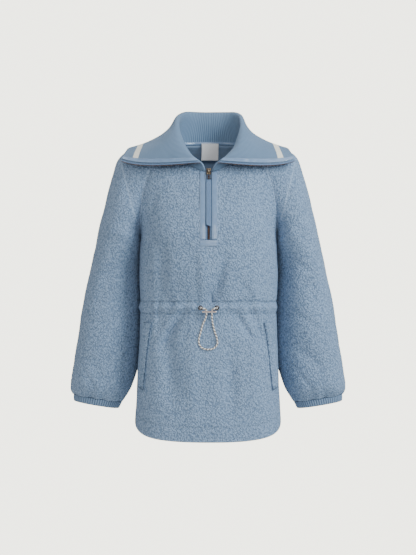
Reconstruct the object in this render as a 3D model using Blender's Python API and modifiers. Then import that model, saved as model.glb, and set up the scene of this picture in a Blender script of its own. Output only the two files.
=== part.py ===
"""A half-zip fleece pullover, filled out as if it were worn, with nobody inside.

Frame: +Z up, the front faces -Y, +X is on the right of someone looking at the front. The origin is
the middle of the neck at the height of the back neck, where a wearer's neck carries the garment.

The cloth is a set of walls. Each wall is a grid of outer points, worked out row by row from the
tables below, and the same grid moved inwards by the thickness of the cloth. A row of a panel is one
cubic curve from the middle of the garment, or from the top of the arm, to a seam. Panels that share
a seam share its points and its normals, and each steps back from it by SEAM_STEP. All sizes in the
tables are millimetres. Each right-hand piece is worked out and mirrored for the left, and lean()
then moves both a little to the right at the neck and at the chest, as the garment hangs.
"""

import math

import bmesh
import bpy
import numpy as np
from mathutils import Matrix

MM = 0.001
FLEECE = 2.4
KNIT = 3.2
HEM_FOLD = 4.4
SEAM_STEP = 0.2
LIFT = 0.35

NECK_HALF_WIDTH = 88.0
NECK_MIDDLE_Y = -5.0
NECK_FRONT_DEPTH = 81.0
NECK_BACK_DEPTH = 65.0
NECK_SIDE_Z = 12.0
NECK_FRONT_DROP = 71.0
NECK_BACK_RISE = 7.0
FRONT_SEAM_ANGLE = 117.6
BACK_SEAM_ANGLE = 58.4

NOTCH_HALF = 8.2
NOTCH_LEVEL = 6.0
TEETH_HALF = 2.6
TAPE_THICK = 1.2
TAPE_SUNK = 0.8
SATIN_IN = 6.9
SATIN_OUT = 20.5
SATIN_THICK = 1.0


def table(columns, *rows):
    """Named columns, each an array with one value a row."""
    return dict(zip(columns.split(), np.array(rows, float).T))


def smooth(at, knots, values):
    """The table's values joined by cubic pieces that pass each knot at the slope of its neighbours."""
    at, knots, values = (np.asarray(a, float) for a in (at, knots, values))
    slope = np.gradient(values, knots)
    i = np.clip(np.searchsorted(knots, at, side="right") - 1, 0, len(knots) - 2)
    width = knots[i + 1] - knots[i]
    t = (at - knots[i]) / width
    rise = values[i + 1] - values[i]
    start, end = slope[i] * width, slope[i + 1] * width
    return values[i] + t * (start + t * (3 * rise - 2 * start - end + t * (start + end - 2 * rise)))


def read(rows, at, names):
    """Columns of a table at these levels, side by side."""
    return np.stack([smooth(at, rows["level"], rows[name]) for name in names.split()], -1)


# Levels down the body and down an arm: 0 the neck seam, 1 under the collar, 2 the shoulder, 3 its
# point, 4 upper chest, 5 chest, 6 underarm. On the body 7 ribs, 8 to 10 the waist channel,
# 11 pockets, 12 hips, 13 hem. On an arm 7 to 10 down to the wrist, 11 to 13 where it blouses.
RAGLAN = table(
    "level top_x top_y top_z front_x front_y front_z back_x back_y back_z",
    (0, 88, -5, 12, 78, -42.5, -3, 75, 29, 14),
    (1, 128, -1, 13, 106, -57, -24, 104, 58, 2),
    (2, 172, 4, 7, 130, -63, -40, 130, 80, -20),
    (3, 213, 12, -17, 144, -63, -68, 145, 84, -60),
    (4, 232, 17, -66, 155, -58, -108, 155, 78, -106),
    (5, 249.5, 21, -135, 162.5, -43, -160, 161, 54, -162),
    (6, 265, 25, -197, 163.5, 8, -215, 163.5, 8, -215),
)
SIDE_SEAM = table(
    "level x y z",
    (6, 163.5, 8, -215),
    (7, 165.6, 3, -290),
    (8, 163.5, 0, -361),
    (9, 165.3, 0, -375),
    (10, 163.5, 0, -389),
    (11, 164.5, 0, -441),
    (12, 168.8, 0, -533),
    (13, 174.5, 0, -642),
)
# How far the cloth's normal is raised from level at the neck seam, by the angle round the neck.
NECK_TILT = table("angle tilt", (0, 12), (45, 25), (90, 42), (130, 15), (180, -15))
# turn is the angle in plan at which a row meets its seam, climb its rise there, lead and trail the
# lengths of the curve's handles.
FRONT = table(
    "level mid_y mid_z turn climb lead trail",
    (0, -86, -59, 65, 0.9, 0.40, 0.40),
    (1, -95, -82, 32, 0.60, 0.42, 0.36),
    (2, -102, -104, 28, 0.46, 0.42, 0.36),
    (3, -109, -129, 31, 0.34, 0.44, 0.38),
    (4, -116, -156, 38, 0.20, 0.48, 0.42),
    (5, -123, -190, 54, 0.10, 0.56, 0.50),
    (6, -127, -228, 90, 0.095, 0.66, 0.66),
    (7, -125, -297, 90, 0.05, 0.66, 0.66),
    (8, -111, -361, 90, 0.0, 0.68, 0.68),
    (9, -113, -375, 90, 0.0, 0.68, 0.68),
    (10, -111, -389, 90, 0.0, 0.68, 0.68),
    (11, -115, -443, 90, 0.02, 0.69, 0.69),
    (12, -119, -552, 90, 0.16, 0.72, 0.72),
    (13, -120, -686, 90, 0.367, 0.766, 0.766),
)
BACK = table(
    "level mid_y mid_z turn climb lead trail",
    (0, 60, 19, 60, 0.0, 0.40, 0.40),
    (1, 77, -8, 24, 0.12, 0.42, 0.36),
    (2, 88, -34, 18, 0.16, 0.42, 0.36),
    (3, 95, -70, 24, 0.14, 0.44, 0.38),
    (4, 99, -108, 32, 0.05, 0.48, 0.42),
    (5, 103, -160, 50, 0.0, 0.56, 0.50),
    (6, 105, -215, 90, 0.0, 0.66, 0.66),
    (7, 106, -290, 90, 0.0, 0.66, 0.66),
    (8, 102, -361, 90, 0.0, 0.68, 0.68),
    (9, 104, -375, 90, 0.0, 0.68, 0.68),
    (10, 102, -389, 90, 0.0, 0.68, 0.68),
    (11, 107, -441, 90, 0.0, 0.69, 0.69),
    (12, 115, -543, 90, 0.09, 0.72, 0.72),
    (13, 120, -672, 90, 0.25, 0.766, 0.766),
)
# The upper arm's half-rows run from the top line to a raglan seam: arrive is the angle in plan at
# which they reach it, fall their drop there.
UPPER_ARM = table(
    "level lead trail arrive fall",
    (0, 0.36, 0.36, -30, -0.4),
    (1, 0.36, 0.34, -22, -0.55),
    (2, 0.40, 0.36, -15, -0.50),
    (3, 0.42, 0.38, 5, -0.40),
    (4, 0.50, 0.42, 25, -0.30),
    (5, 0.68, 0.54, 58, -0.12),
    (6, 1.04, 1.04, 90, 0.0),
)
# Below the underarm a sleeve is a ring through its outer line and its inner seam, which bulges to
# the front and to the back. tuck leans the front half out round the body's side, behind which the
# inner seam hangs.
LOWER_ARM = table(
    "level out_x out_y out_z in_x in_y in_z front back tuck",
    (6, 265, 25, -197, 163.5, 8, -215, 80, 80, 0),
    (7, 279, 26, -264, 165, 46, -282, 82, 67, 9),
    (8, 295, 27, -336, 161.5, 50, -354, 80.5, 63.5, 13),
    (9, 308.5, 27, -408, 161.5, 50, -425, 78, 62, 13),
    (10, 318.6, 26, -478, 163.5, 48, -495, 74.5, 61.5, 11),
    (11, 327.5, 24, -532, 177.5, 36, -546, 67, 63, 4),
    (12, 331.5, 22, -563, 188.5, 29, -575, 58, 56, 0),
    (12.6, 330, 21, -577, 199, 26, -591, 47, 47, 0),
    (13, 324.5, 21, -585.3, 207.5, 25, -604.0, 37, 37, 0),
)
CUFF = table(
    "level out_x out_y out_z in_x in_y in_z front back tuck",
    (0, 324.5, 21, -585.7, 207.5, 25, -604.4, 37, 37, 0),
    (1, 324.6, 20, -594, 211.5, 24.5, -613, 36, 36, 0),
    (2, 324.0, 20, -602, 215.5, 24, -621, 34.5, 34.5, 0),
)
CUFF_RIBS = 60
RIB_DEPTH = 1.1

# The collar by its place round the neck, 0 at the middle of the back and 1 at the front edge: angle
# round the neck seam, the roll at the top of its stand, and the outer edge where its fall ends. up,
# out and down are the directions there.
COLLAR = table(
    "level angle roll_x roll_y roll_z edge_x edge_y edge_z",
    (0, 0, 0, 73, 98, 0, 113, -24),
    (0.14, 28, 34, 69, 98, 60, 111, -24),
    (0.28, 52, 61, 52, 96, 118, 98, -20),
    (0.40, 72, 74, 30, 87, 160, 68, 0),
    (0.52, 92, 77, 4, 75, 184, 20, 5),
    (0.64, 111, 78, -22, 56, 190, -12, 1),
    (0.76, 130, 74, -48, 31, 195, -30, -8),
    (0.88, 150, 61, -77, -2, 200, -46, -19),
    (0.95, 163, 43, -93, -23, 202, -54, -25),
    (1, 174.66, 24, -101, -37, 203, -60, -29),
)
COLLAR_AIM = table(
    "level up_x up_y up_z out_x out_y out_z down_x down_y down_z root roll fall",
    (0, 0, 0.05, 1, 0, 1, 0, 0, 0.10, -1, 30, 22, 50),
    (0.28, 0.15, 0.05, 1, 0.62, 0.78, 0, 0.3, 0.25, -0.9, 30, 18, 60),
    (0.40, 0.05, 0.02, 1, 0.85, 0.45, -0.1, 0.80, 0.10, -0.25, 28, 12, 76),
    (0.52, -0.05, 0, 1, 1, 0, -0.15, 0.97, -0.02, -0.20, 25, 10, 94),
    (0.64, -0.03, -0.12, 1, 0.95, -0.25, -0.15, 0.96, 0.02, -0.28, 24, 10, 98),
    (0.76, 0, -0.25, 1, 0.86, -0.5, 0, 0.97, 0.08, -0.19, 22, 14, 80),
    (0.88, 0.1, -0.5, 0.8, 0.8, -0.6, 0.1, 0.95, 0.2, -0.06, 14, 16, 66),
    (1, 0.1, -0.9, 0.4, 0.85, -0.4, 0.35, 0.85, 0.45, 0.34, 6, 12, 68),
)
STAND_SHARE = 0.36
ROLL_ROW = 4

# Soft troughs pressed into the cloth, seen from the front: from one end to the other, then width
# and depth. A negative depth is a ridge.
FRONT_FOLDS = table(
    "x1 z1 x2 z2 width depth",
    (-76, -392, -104, -462, 13, 3.5),
    (-106, -392, -114, -425, 10, 2.5),
    (90, -365, 112, -430, 13, 3.5),
    (98, -360, 128, -462, 12, 3.0),
    (4, -335, 6, -366, 9, 3.0),
    (-40, -396, -52, -440, 12, 2.0),
    (48, -396, 58, -445, 12, 2.2),
    (-60, -300, -84, -352, 14, 2.0),
    (66, -290, 84, -350, 14, 2.4),
    (196, -34, 184, -128, 12, 3.0),
    (-196, -34, -184, -128, 12, 3.0),
    (232, -300, 262, -372, 16, 4.0),
    (-228, -290, -262, -356, 16, 4.0),
    (214, -470, 268, -520, 15, 4.0),
    (-214, -460, -262, -512, 15, 4.0),
    (280, -500, 244, -556, 12, 3.0),
    (-284, -492, -246, -552, 12, 3.0),
)
BACK_FOLDS = table(
    "x1 z1 x2 z2 width depth",
    (-70, -392, -92, -470, 13, 3.5),
    (78, -392, 104, -462, 13, 3.5),
    (10, -394, 4, -440, 12, 2.5),
    (-54, -280, -74, -352, 14, 2.4),
    (50, -290, 70, -350, 14, 2.2),
    (0, -300, -6, -350, 12, 2.0),
    (118, -120, 96, -190, 15, 3.0),
    (-118, -120, -96, -190, 15, 3.0),
    (230, -296, 262, -360, 16, 4.0),
    (-226, -300, -260, -368, 16, 4.0),
    (212, -470, 264, -524, 15, 4.0),
    (-216, -464, -266, -514, 15, 4.0),
)

# The collar's front edge carries half of the open zip: distances from the edge, past it if below 0.
FACING_WIDTH = 13.0
FACING_LIFT = 0.8
EDGE_TAPE = (-5.6, -0.8)
EDGE_TEETH = (-8.1, -5.9)
TRIM_FROM_X = 25.0
NECK_TAPE = (1.2, 8.2)
NECK_TAPE_THICK = 0.8
LABEL_SIZE = 41.5
LABEL_TOP = 21.8
LABEL_THICK = 0.8
LABEL_STANDS_OFF = 1.0

# The zip below the slider, by levels of the front.
TEETH_THICK = 2.2
CHAIN_STARTS = 0.36
PLACKET_ENDS = 5.78
PLACKET_BASE = (5.81, 6, 6.1)
PULL_FROM, PULL_TO = 0.86, 4.9
PULL_HALF = 6.0
PULL_LIFT = 2.2
PULL_THICK = 1.6
PULL_SLANT = np.array([2.5, 0, -2.5])
SLIDER_AT = (-86.8, -57.8)
SLIDER_SIZE = (10.8, 3.4, 15.0)
SLIDER_SLOPE = math.radians(-23)
PIVOT_OUT = -3.8
# The bail's wire and the loop's corners, seen from the slider's middle. The loop hangs from the bail.
BAIL = table(
    "y z", (-1.2, 5.2), (-4.2, 5.0), (-6.2, 3.4), (-6.8, 0), (-6.2, -3.4), (-4.2, -5.0), (-1.2, -5.2)
)
BAIL_WIRE = 0.9
LOOP_HALF = 5.2
LOOP_TALL = 21.0
LOOP_CORNER = 2.4
LOOP_WIRE = 0.9
LOOP_TILT = math.radians(2)
# The pocket welts' inner and outer edges run between these distances from the middle.
WELT_LEVELS = np.linspace(10.5, 12.2, 8)
WELT_INNER = (129, 149)
WELT_OUTER = (150, 163)
WELT_THICK = 2.2

EYELET_X, EYELET_Z = 18.7, -375.0
EYELET_RING, EYELET_WIRE = 4.3, 1.3
CORD_WIDE = 4.2
BAR_X, BAR_Z = 1.35, -384.0
BAR_SIZE = (33.0, 7.6, 4.4)
BAR_OFF = 8.3
BAR_HOLES = (-5.0, 7.7)
BAR_HOLE = 2.8
# off is how far the cord's middle stands off the front's outer face.
CORD = table(
    "x z off",
    (-18.7, -375, 0.8),
    (-18.6, -375, 4.5),
    (-15.6, -375.6, 8.0),
    (-9.6, -377.2, 9.4),
    (-5.4, -380.6, 8.2),
    (-5, -384, 8.3),
    (-5, -388, 8.5),
    (-7.0, -399, 6.0),
    (-12.4, -411, 3.4),
    (-18.4, -431.6, 3.0),
    (-22, -446, 3.0),
    (-22, -457, 3.0),
    (-16, -466.5, 3.0),
    (-1.5, -470.8, 3.0),
    (13, -467.5, 3.0),
    (20, -458, 3.0),
    (19.6, -447, 3.0),
    (13.8, -429.3, 3.0),
    (10, -413.2, 3.4),
    (8.0, -399, 6.0),
    (7.7, -388, 8.5),
    (7.7, -384, 8.3),
    (8.1, -380.6, 8.2),
    (11.4, -377.2, 9.4),
    (15.8, -375.6, 8.0),
    (18.6, -375, 4.5),
    (18.7, -375, 0.8),
)

# How far the garment leans to the right at its chest's sides, at the neck and along the zip.
LEAN = table(
    "z chest",
    (-700, 0),
    (-560, 0),
    (-440, 0.5),
    (-360, 1),
    (-150, 1),
    (-60, 0.4),
    (0, 0),
    (100, 0),
)
LEAN_NECK = 5.0
LEAN_ZIP = 1.5

RAGLAN_ROWS = np.linspace(0, 6, 10)
BODY_ROWS = np.r_[RAGLAN_ROWS, 6.5, 7, 7.5, 8, 9, 10, 10.5, 11, 11.5, 12, 12.35, 12.7, 13]
ARM_ROWS = np.r_[RAGLAN_ROWS, 6.35, 6.7, 7.2, 7.8, 8.4, 9, 9.6, 10.2, 10.7, 11.2, 11.6, 12, 12.3, 12.6, 13]
FRONT_COLUMNS = 18
BACK_COLUMNS = 12
ARM_COLUMNS = 9
COLLAR_COLUMNS = 19


def unit(v):
    return v / np.maximum(np.linalg.norm(v, axis=-1, keepdims=True), 1e-9)


def cubic(p0, p1, p2, p3, t):
    """Rows of points on cubic curves: the four ends and handles are (rows, 3), t is (columns)."""
    t = np.asarray(t, float)[None, :, None]
    p0, p1, p2, p3 = (p[:, None, :] for p in (p0, p1, p2, p3))
    s = 1 - t
    return s**3 * p0 + 3 * s * s * t * p1 + 3 * s * t * t * p2 + t**3 * p3


def neck(angle):
    """The neck seam: two half ellipses in plan, high at the back and dropped at the front."""
    angle = np.radians(np.asarray(angle, float))
    sin, cos = np.sin(angle), np.cos(angle)
    back = cos > 0
    depth = np.where(back, NECK_BACK_DEPTH, NECK_FRONT_DEPTH)
    rise = np.where(back, NECK_BACK_RISE, -NECK_FRONT_DROP)
    return np.stack([NECK_HALF_WIDTH * sin, NECK_MIDDLE_Y + depth * cos, NECK_SIDE_Z + rise * cos * cos], -1)


def neck_normal(angle):
    """Half-way between the panel's normal and the collar's, so that both end on one slanted face."""
    turn = np.radians(np.asarray(angle, float))
    depth = np.where(np.cos(turn) > 0, NECK_BACK_DEPTH, NECK_FRONT_DEPTH)
    out = unit(np.stack([np.sin(turn) / NECK_HALF_WIDTH, np.cos(turn) / depth, 0 * turn], -1))
    tilt = np.radians(smooth(angle, NECK_TILT["angle"], NECK_TILT["tilt"]))[..., None]
    return out * np.cos(tilt) + np.array([0, 0, 1]) * np.sin(tilt)


def folds(points, rows, ahead):
    """Presses the troughs in: each is a Gaussian across its line, deepest half-way along it."""
    moved = points.copy()
    for x1, z1, x2, z2, width, depth in zip(*rows.values()):
        along = np.array([x2 - x1, z2 - z1])
        offset = points[..., (0, 2)] - np.array([x1, z1])
        share = (offset @ along) / (along @ along)
        near = np.clip(share, 0, 1)[..., None] * along
        across = np.linalg.norm(offset - near, axis=-1)
        middle = 0.4 + 0.6 * np.sin(np.pi * np.clip(share, 0, 1))
        moved[..., 1] -= ahead * depth * middle * np.exp(-((across / width) ** 2))
    return moved


def seam_line(levels, which):
    """The seam that a panel's row ends at: the raglan seam down to the underarm, then the side seam."""
    raglan = read(RAGLAN, np.minimum(levels, 6), f"{which}_x {which}_y {which}_z")
    side = read(SIDE_SEAM, np.maximum(levels, 6), "x y z")
    return np.where((levels <= 6)[:, None], raglan, side)


def body_curves(levels, which, t):
    """Half-rows of the front or the back as cubics from the middle to the seam, at their shares t."""
    rows, ahead = (FRONT, -1) if which == "front" else (BACK, 1)
    mid_y, mid_z, turn, climb, lead, trail = read(rows, levels, "mid_y mid_z turn climb lead trail").T
    start = np.stack([0 * mid_y, mid_y, mid_z], -1)
    end = seam_line(levels, which)
    turn = np.radians(turn)
    aim = np.stack([np.cos(turn), -ahead * np.sin(turn), climb], -1)
    span = np.abs(end[:, 0]) * np.cos(turn) + np.abs(end[:, 1] - mid_y) * np.sin(turn)
    leave = start + np.stack([lead * end[:, 0], 0 * lead, 0 * lead], -1)
    return cubic(start, leave, end - aim * (trail * span)[:, None], end, t)


def meet_neck(points, levels, first, from_angle, to_angle, t):
    """Eases the rows near the neck, so that the first one lies exactly on the neck seam."""
    exact = neck(from_angle + (to_angle - from_angle) * np.asarray(t))
    return points + (np.clip(1 - levels, 0, 1) ** 2)[:, None, None] * (exact - first)


def body_rows(levels, which, t):
    """The front's or the back's outer half-rows, with the neck seam met and the folds pressed in."""
    ahead, begins, ends = (-1, 180, FRONT_SEAM_ANGLE) if which == "front" else (1, 0, BACK_SEAM_ANGLE)
    first = body_curves(np.zeros(1), which, t)[0]
    points = meet_neck(body_curves(levels, which, t), levels, first, begins, ends, t)
    return folds(points, FRONT_FOLDS if which == "front" else BACK_FOLDS, ahead)


def at_x(rows, x):
    """The points of each row at these distances from the middle."""
    return np.stack([np.stack([np.interp(x, row[:, 0], row[:, k]) for k in range(3)], -1) for row in rows])


def spaced(rows, first_x, columns):
    """Each row read again at even steps along its length, after a first point at first_x."""
    out = []
    for row in rows:
        length = np.r_[0, np.cumsum(np.linalg.norm(np.diff(row, axis=0), axis=1))]
        begin = np.interp(first_x, row[:, 0], length)
        places = np.linspace(begin, length[-1], columns)
        out.append(np.stack([np.interp(places, length, row[:, k]) for k in range(3)], -1))
    return np.stack(out)


def raglan_curves(levels, which, t):
    """Half-rows of the upper sleeve as cubics from the top line to a raglan seam."""
    ahead = -1 if which == "front" else 1
    top = read(RAGLAN, levels, "top_x top_y top_z")
    end = read(RAGLAN, levels, f"{which}_x {which}_y {which}_z")
    lead, trail, arrive, fall = read(UPPER_ARM, levels, "lead trail arrive fall").T
    arrive = np.radians(arrive)
    chord = np.linalg.norm(end - top, axis=1)
    aim = np.stack([-np.cos(arrive), -ahead * np.sin(arrive), fall], -1)
    leave = top + np.stack([0 * lead, ahead * lead * chord, 0 * lead], -1)
    return cubic(top, leave, end - aim * (trail * chord)[:, None], end, t)


def arm_rows(levels, which, t):
    """Half-rows of a sleeve: raglan rows down to the underarm, and half-rings below it."""
    ahead, seam = (-1, FRONT_SEAM_ANGLE) if which == "front" else (1, BACK_SEAM_ANGLE)
    first = raglan_curves(np.zeros(1), which, t)[0]
    upper = meet_neck(raglan_curves(np.minimum(levels, 6), which, t), levels, first, 90, seam, t)
    lower = half_ring(LOWER_ARM, np.maximum(levels, 6), which, t)
    points = np.where((levels < 6)[:, None, None], upper, lower)
    return folds(points, FRONT_FOLDS if which == "front" else BACK_FOLDS, ahead)


def half_ring(rows, levels, which, t):
    """Half of a ring: a cubic from the outer line to the inner one, bulged to the front or the back."""
    ahead = -1 if which == "front" else 1
    out, back_in = read(rows, levels, "out_x out_y out_z"), read(rows, levels, "in_x in_y in_z")
    bulge = read(rows, levels, which) * 4 / 3
    side = np.concatenate([0 * bulge, ahead * bulge, 0 * bulge], -1)
    tuck = read(rows, levels, "tuck") * np.array([1, 0, 0]) * (which == "front")
    return cubic(out, out + side, back_in + side + tuck, back_in, t)


def normals(points, ring=False):
    """Unit normals of a grid, from its differences along rows and columns."""
    if ring:
        wide = np.concatenate([points[:, -1:], points, points[:, :1]], axis=1)
        across = (wide[:, 2:] - wide[:, :-2]) / 2
    else:
        across = np.gradient(points, axis=1)
    return unit(np.cross(across, np.gradient(points, axis=0)))


def outward(points, centre):
    """The grid's normals, turned to point away from a point or a line of points inside it."""
    found = normals(points)
    return found if ((points - centre) * found).sum() > 0 else -found


def share_normals(one, two, at_one, at_two):
    """Both grids get the mean of their normals along the seam that they share."""
    mean = unit(one[at_one] + two[at_two])
    one[at_one] = mean
    two[at_two] = mean


def step_back(points, rows=(), columns=(), by=SEAM_STEP):
    """Moves edge rows and columns towards the row or column beside them, which opens the seam."""
    points = points.copy()
    for edge in rows:
        beside = 1 if edge == 0 else -2
        points[edge] += by * unit(points[beside] - points[edge])
    for edge in columns:
        beside = 1 if edge == 0 else -2
        points[:, edge] += by * unit(points[:, beside] - points[:, edge])
    return points


def lean(points):
    """The garment hangs a little to the right at the chest's sides and at the neck."""
    x, z = points[..., 0], points[..., 2]
    near_side = np.exp(-(((np.abs(x) - 165) / 48) ** 2))
    near_middle = np.exp(-((x / 95) ** 4))
    down = np.clip(-z / 60, 0, 1)
    moved = points.copy()
    moved[..., 0] += near_side * smooth(np.clip(z, -700, 100), LEAN["z"], LEAN["chest"])
    moved[..., 0] += near_middle * (LEAN_NECK * np.clip(1 + z / 60, 0, 1) + LEAN_ZIP * down)
    return moved


MATERIALS = {
    "fleece": ((0.22, 0.31, 0.44), 0.95, 0.0),
    "rib_knit": ((0.20, 0.29, 0.42), 0.9, 0.0),
    "satin": ((0.45, 0.56, 0.70), 0.35, 0.0),
    "zip_tape": ((0.16, 0.24, 0.38), 0.85, 0.0),
    "teeth_metal": ((0.30, 0.20, 0.15), 0.35, 1.0),
    "slider_metal": ((0.12, 0.11, 0.10), 0.3, 1.0),
    "bar_metal": ((0.62, 0.55, 0.53), 0.3, 1.0),
    "pull_rubber": ((0.02, 0.02, 0.025), 0.6, 0.0),
    "label_cloth": ((0.72, 0.73, 0.72), 0.9, 0.0),
    "cord_yarn": ((0.62, 0.60, 0.56), 0.9, 0.0),
}


def material(name):
    found = bpy.data.materials.get(name)
    if found:
        return found
    colour, roughness, metallic = MATERIALS[name]
    made = bpy.data.materials.new(name)
    made.use_nodes = True
    shader = made.node_tree.nodes["Principled BSDF"]
    shader.inputs["Base Color"].default_value = (*colour, 1)
    shader.inputs["Roughness"].default_value = roughness
    shader.inputs["Metallic"].default_value = metallic
    made.diffuse_color = (*colour, 1)
    return made


def add(name, mesh, finish):
    mesh.materials.clear()
    mesh.materials.append(material(finish))
    mesh.shade_smooth()
    mesh.set_sharp_from_angle(angle=math.radians(40))
    obj = bpy.data.objects.new(name, mesh)
    pullover.objects.link(obj)
    return obj


def solid(name, points, faces, finish):
    """An object from points in millimetres, its faces turned outwards."""
    used, index = np.unique(np.concatenate([np.ravel(f) for f in faces]), return_inverse=True)
    lengths = [len(f) for f in faces]
    faces = [list(f) for f in np.split(index, np.cumsum(lengths)[:-1])]
    points = points[used]
    volume = 0.0
    for face in faces:
        a = points[face[0]]
        for b, c in zip(face[1:-1], face[2:]):
            volume += a @ np.cross(points[b], points[c])
    if volume < 0:
        faces = [face[::-1] for face in faces]
    mesh = bpy.data.meshes.new(name)
    mesh.from_pydata((lean(points) * MM).tolist(), [], faces)
    return add(name, mesh, finish)


def wall(name, outer, inner, finish, ring=False, keep=None):
    """A closed wall between two grids of points: outer faces, inner faces, and a rim on each open edge.

    A rim's quad is cut from its higher corner, so that two walls which meet there match.
    """
    rows, columns = outer.shape[:2]
    index = np.arange(rows * columns).reshape(rows, columns)
    if ring:
        index = np.concatenate([index, index[:, :1]], axis=1)
    quads = np.stack([index[:-1, :-1], index[1:, :-1], index[1:, 1:], index[:-1, 1:]], -1)
    quads = quads[keep] if keep is not None else quads.reshape(-1, 4)
    points = np.concatenate([outer.reshape(-1, 3), inner.reshape(-1, 3)])
    offset = rows * columns
    edges = {(int(a), int(b)) for q in quads for a, b in zip(q, np.roll(q, -1))}
    faces = [list(q) for q in quads] + [list(q[::-1] + offset) for q in quads]
    for a, b in sorted(edges):
        if (b, a) in edges:
            continue
        c, d = a + offset, b + offset
        faces += [[b, a, d], [a, c, d]] if points[a, 2] > points[b, 2] else [[b, a, c], [b, c, d]]
    return solid(name, points, faces, finish)


def mirrored(points):
    return points * np.array([-1, 1, 1])


def plate(name, base, thick, finish, lift=LIFT, aim=None):
    """A strip that lies on a surface: its points moved out by lift, and again by its own thickness."""
    aim = normals(base) if aim is None else aim
    return wall(name, base + aim * (lift + thick), base + aim * lift, finish)


def body_and_arms():
    """The outer grids of the right half, with the normals that their seams share."""
    fine = np.linspace(0, 1, 81)
    t = np.linspace(0, 1, ARM_COLUMNS)
    grids = {
        "front": spaced(body_rows(BODY_ROWS, "front", fine), NOTCH_HALF, FRONT_COLUMNS),
        "back": spaced(body_rows(BODY_ROWS, "back", fine), 0, BACK_COLUMNS),
        "arm_front": arm_rows(ARM_ROWS, "front", t),
        "arm_back": arm_rows(ARM_ROWS, "back", t),
    }
    arm_inside = arm_middle(ARM_ROWS)[:, None]
    aims = {}
    for name, points in grids.items():
        body_inside = points * np.array([0, 0, 1]) - np.array([0, 0, 40])
        aims[name] = outward(points, arm_inside if "arm" in name else body_inside)
    aims["front"][:, 0, 0] = 0
    aims["back"][:, 0, 0] = 0
    raglan, below = slice(0, 10), slice(9, None)
    share_normals(aims["front"], aims["arm_front"], (raglan, -1), (raglan, -1))
    share_normals(aims["back"], aims["arm_back"], (raglan, -1), (raglan, -1))
    share_normals(aims["front"], aims["back"], (below, -1), (below, -1))
    share_normals(aims["arm_front"], aims["arm_back"], (below, -1), (below, -1))
    share_normals(aims["arm_front"], aims["arm_back"], (slice(None), 0), (slice(None), 0))
    for aim in aims.values():
        aim[9, -1] = (0, 0, -1)
    angles = {
        "front": np.linspace(180, FRONT_SEAM_ANGLE, FRONT_COLUMNS),
        "back": np.linspace(0, BACK_SEAM_ANGLE, BACK_COLUMNS),
        "arm_front": np.linspace(90, FRONT_SEAM_ANGLE, ARM_COLUMNS),
        "arm_back": np.linspace(90, BACK_SEAM_ANGLE, ARM_COLUMNS),
    }
    for name, aim in aims.items():
        aim[0] = neck_normal(angles[name]) * 1.15
    return grids, aims


def arm_middle(levels):
    """A line down the inside of the arm."""
    high, low = np.minimum(levels, 6), np.maximum(levels, 6)
    upper = read(RAGLAN, high, "top_x top_y top_z") * 0.5 + 0.25 * (
        read(RAGLAN, high, "front_x front_y front_z") + read(RAGLAN, high, "back_x back_y back_z")
    )
    lower = 0.5 * (read(LOWER_ARM, low, "out_x out_y out_z") + read(LOWER_ARM, low, "in_x in_y in_z"))
    return np.where((levels < 6)[:, None], upper - np.array([20, 0, 30]), lower)


def body(grids, aims):
    thick = np.where(BODY_ROWS > 12.6, HEM_FOLD, FLEECE)[:, None, None]
    for name, first in (("front", NOTCH_HALF), ("back", 0)):
        outer = grids[name]
        inner = outer - aims[name] * thick
        outer = step_back(outer, rows=(0,), columns=(-1,))
        inner = step_back(inner, rows=(0,), columns=(-1,))
        skip = 0 if first else 1
        whole = [np.concatenate([mirrored(g)[:, ::-1], g[:, skip:]], axis=1) for g in (outer, inner)]
        keep = np.ones((len(BODY_ROWS) - 1, whole[0].shape[1] - 1), bool)
        if first:
            keep[BODY_ROWS[1:] <= NOTCH_LEVEL, FRONT_COLUMNS - 1] = False
        wall(name, whole[0], whole[1], "fleece", keep=keep)


def arms(grids, aims):
    for half in ("front", "back"):
        outer = grids[f"arm_{half}"]
        inner = outer - aims[f"arm_{half}"] * FLEECE
        outer = step_back(outer, rows=(0, -1), columns=(0, -1))
        inner = step_back(inner, rows=(0, -1), columns=(0, -1))
        wall(f"sleeve_right_{half}", outer, inner, "fleece")
        wall(f"sleeve_left_{half}", mirrored(outer), mirrored(inner), "fleece")


def cuffs():
    """Rib-knit rings: every other outer point steps in, which raises the ribs over a plain inside."""
    count = CUFF_RIBS
    t = np.linspace(0, 1, count + 1)
    levels = np.array([0, 2.0])
    front = half_ring(CUFF, levels, "front", t)
    back = half_ring(CUFF, levels, "back", t)
    ring = np.concatenate([front, back[:, -2:0:-1]], axis=1)
    aim = normals(ring, ring=True)
    centre = ring.mean(axis=1, keepdims=True)
    aim = aim if ((ring - centre) * aim).sum() > 0 else -aim
    valley = (np.arange(ring.shape[1]) % 2)[None, :, None] * RIB_DEPTH
    outer, inner = ring - aim * valley, ring - aim * KNIT
    wall("cuff_right", outer, inner, "rib_knit", ring=True)
    wall("cuff_left", mirrored(outer), mirrored(inner), "rib_knit", ring=True)


def collar_surface(places, down):
    """The collar's seen face, for places round the neck from 0 to 1 and shares from seam to edge.

    Each profile is two cubics: the stand from the neck seam up to the roll, then the fall from the
    roll to the outer edge.
    """
    angle, *ends = (smooth(places, COLLAR["level"], COLLAR[k]) for k in list(COLLAR)[1:])
    roll, edge = np.stack(ends[:3], -1), np.stack(ends[3:], -1)
    aims = [smooth(places, COLLAR_AIM["level"], COLLAR_AIM[k]) for k in list(COLLAR_AIM)[1:]]
    up, out, fall = (unit(np.stack(aims[k : k + 3], -1)) for k in (0, 3, 6))
    root, turn, end = (a[:, None] for a in aims[9:])
    start = neck(angle)
    stand = cubic(start, start + up * root, roll - out * turn, roll, np.clip(down / STAND_SHARE, 0, 1))
    share = np.clip((down - STAND_SHARE) / (1 - STAND_SHARE), 0, 1)
    lying = cubic(roll, roll + out * turn, edge - fall * end, edge, share)
    grid = np.where((down < STAND_SHARE)[None, :, None], stand, lying)
    return grid, neck_normal(angle)


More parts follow.
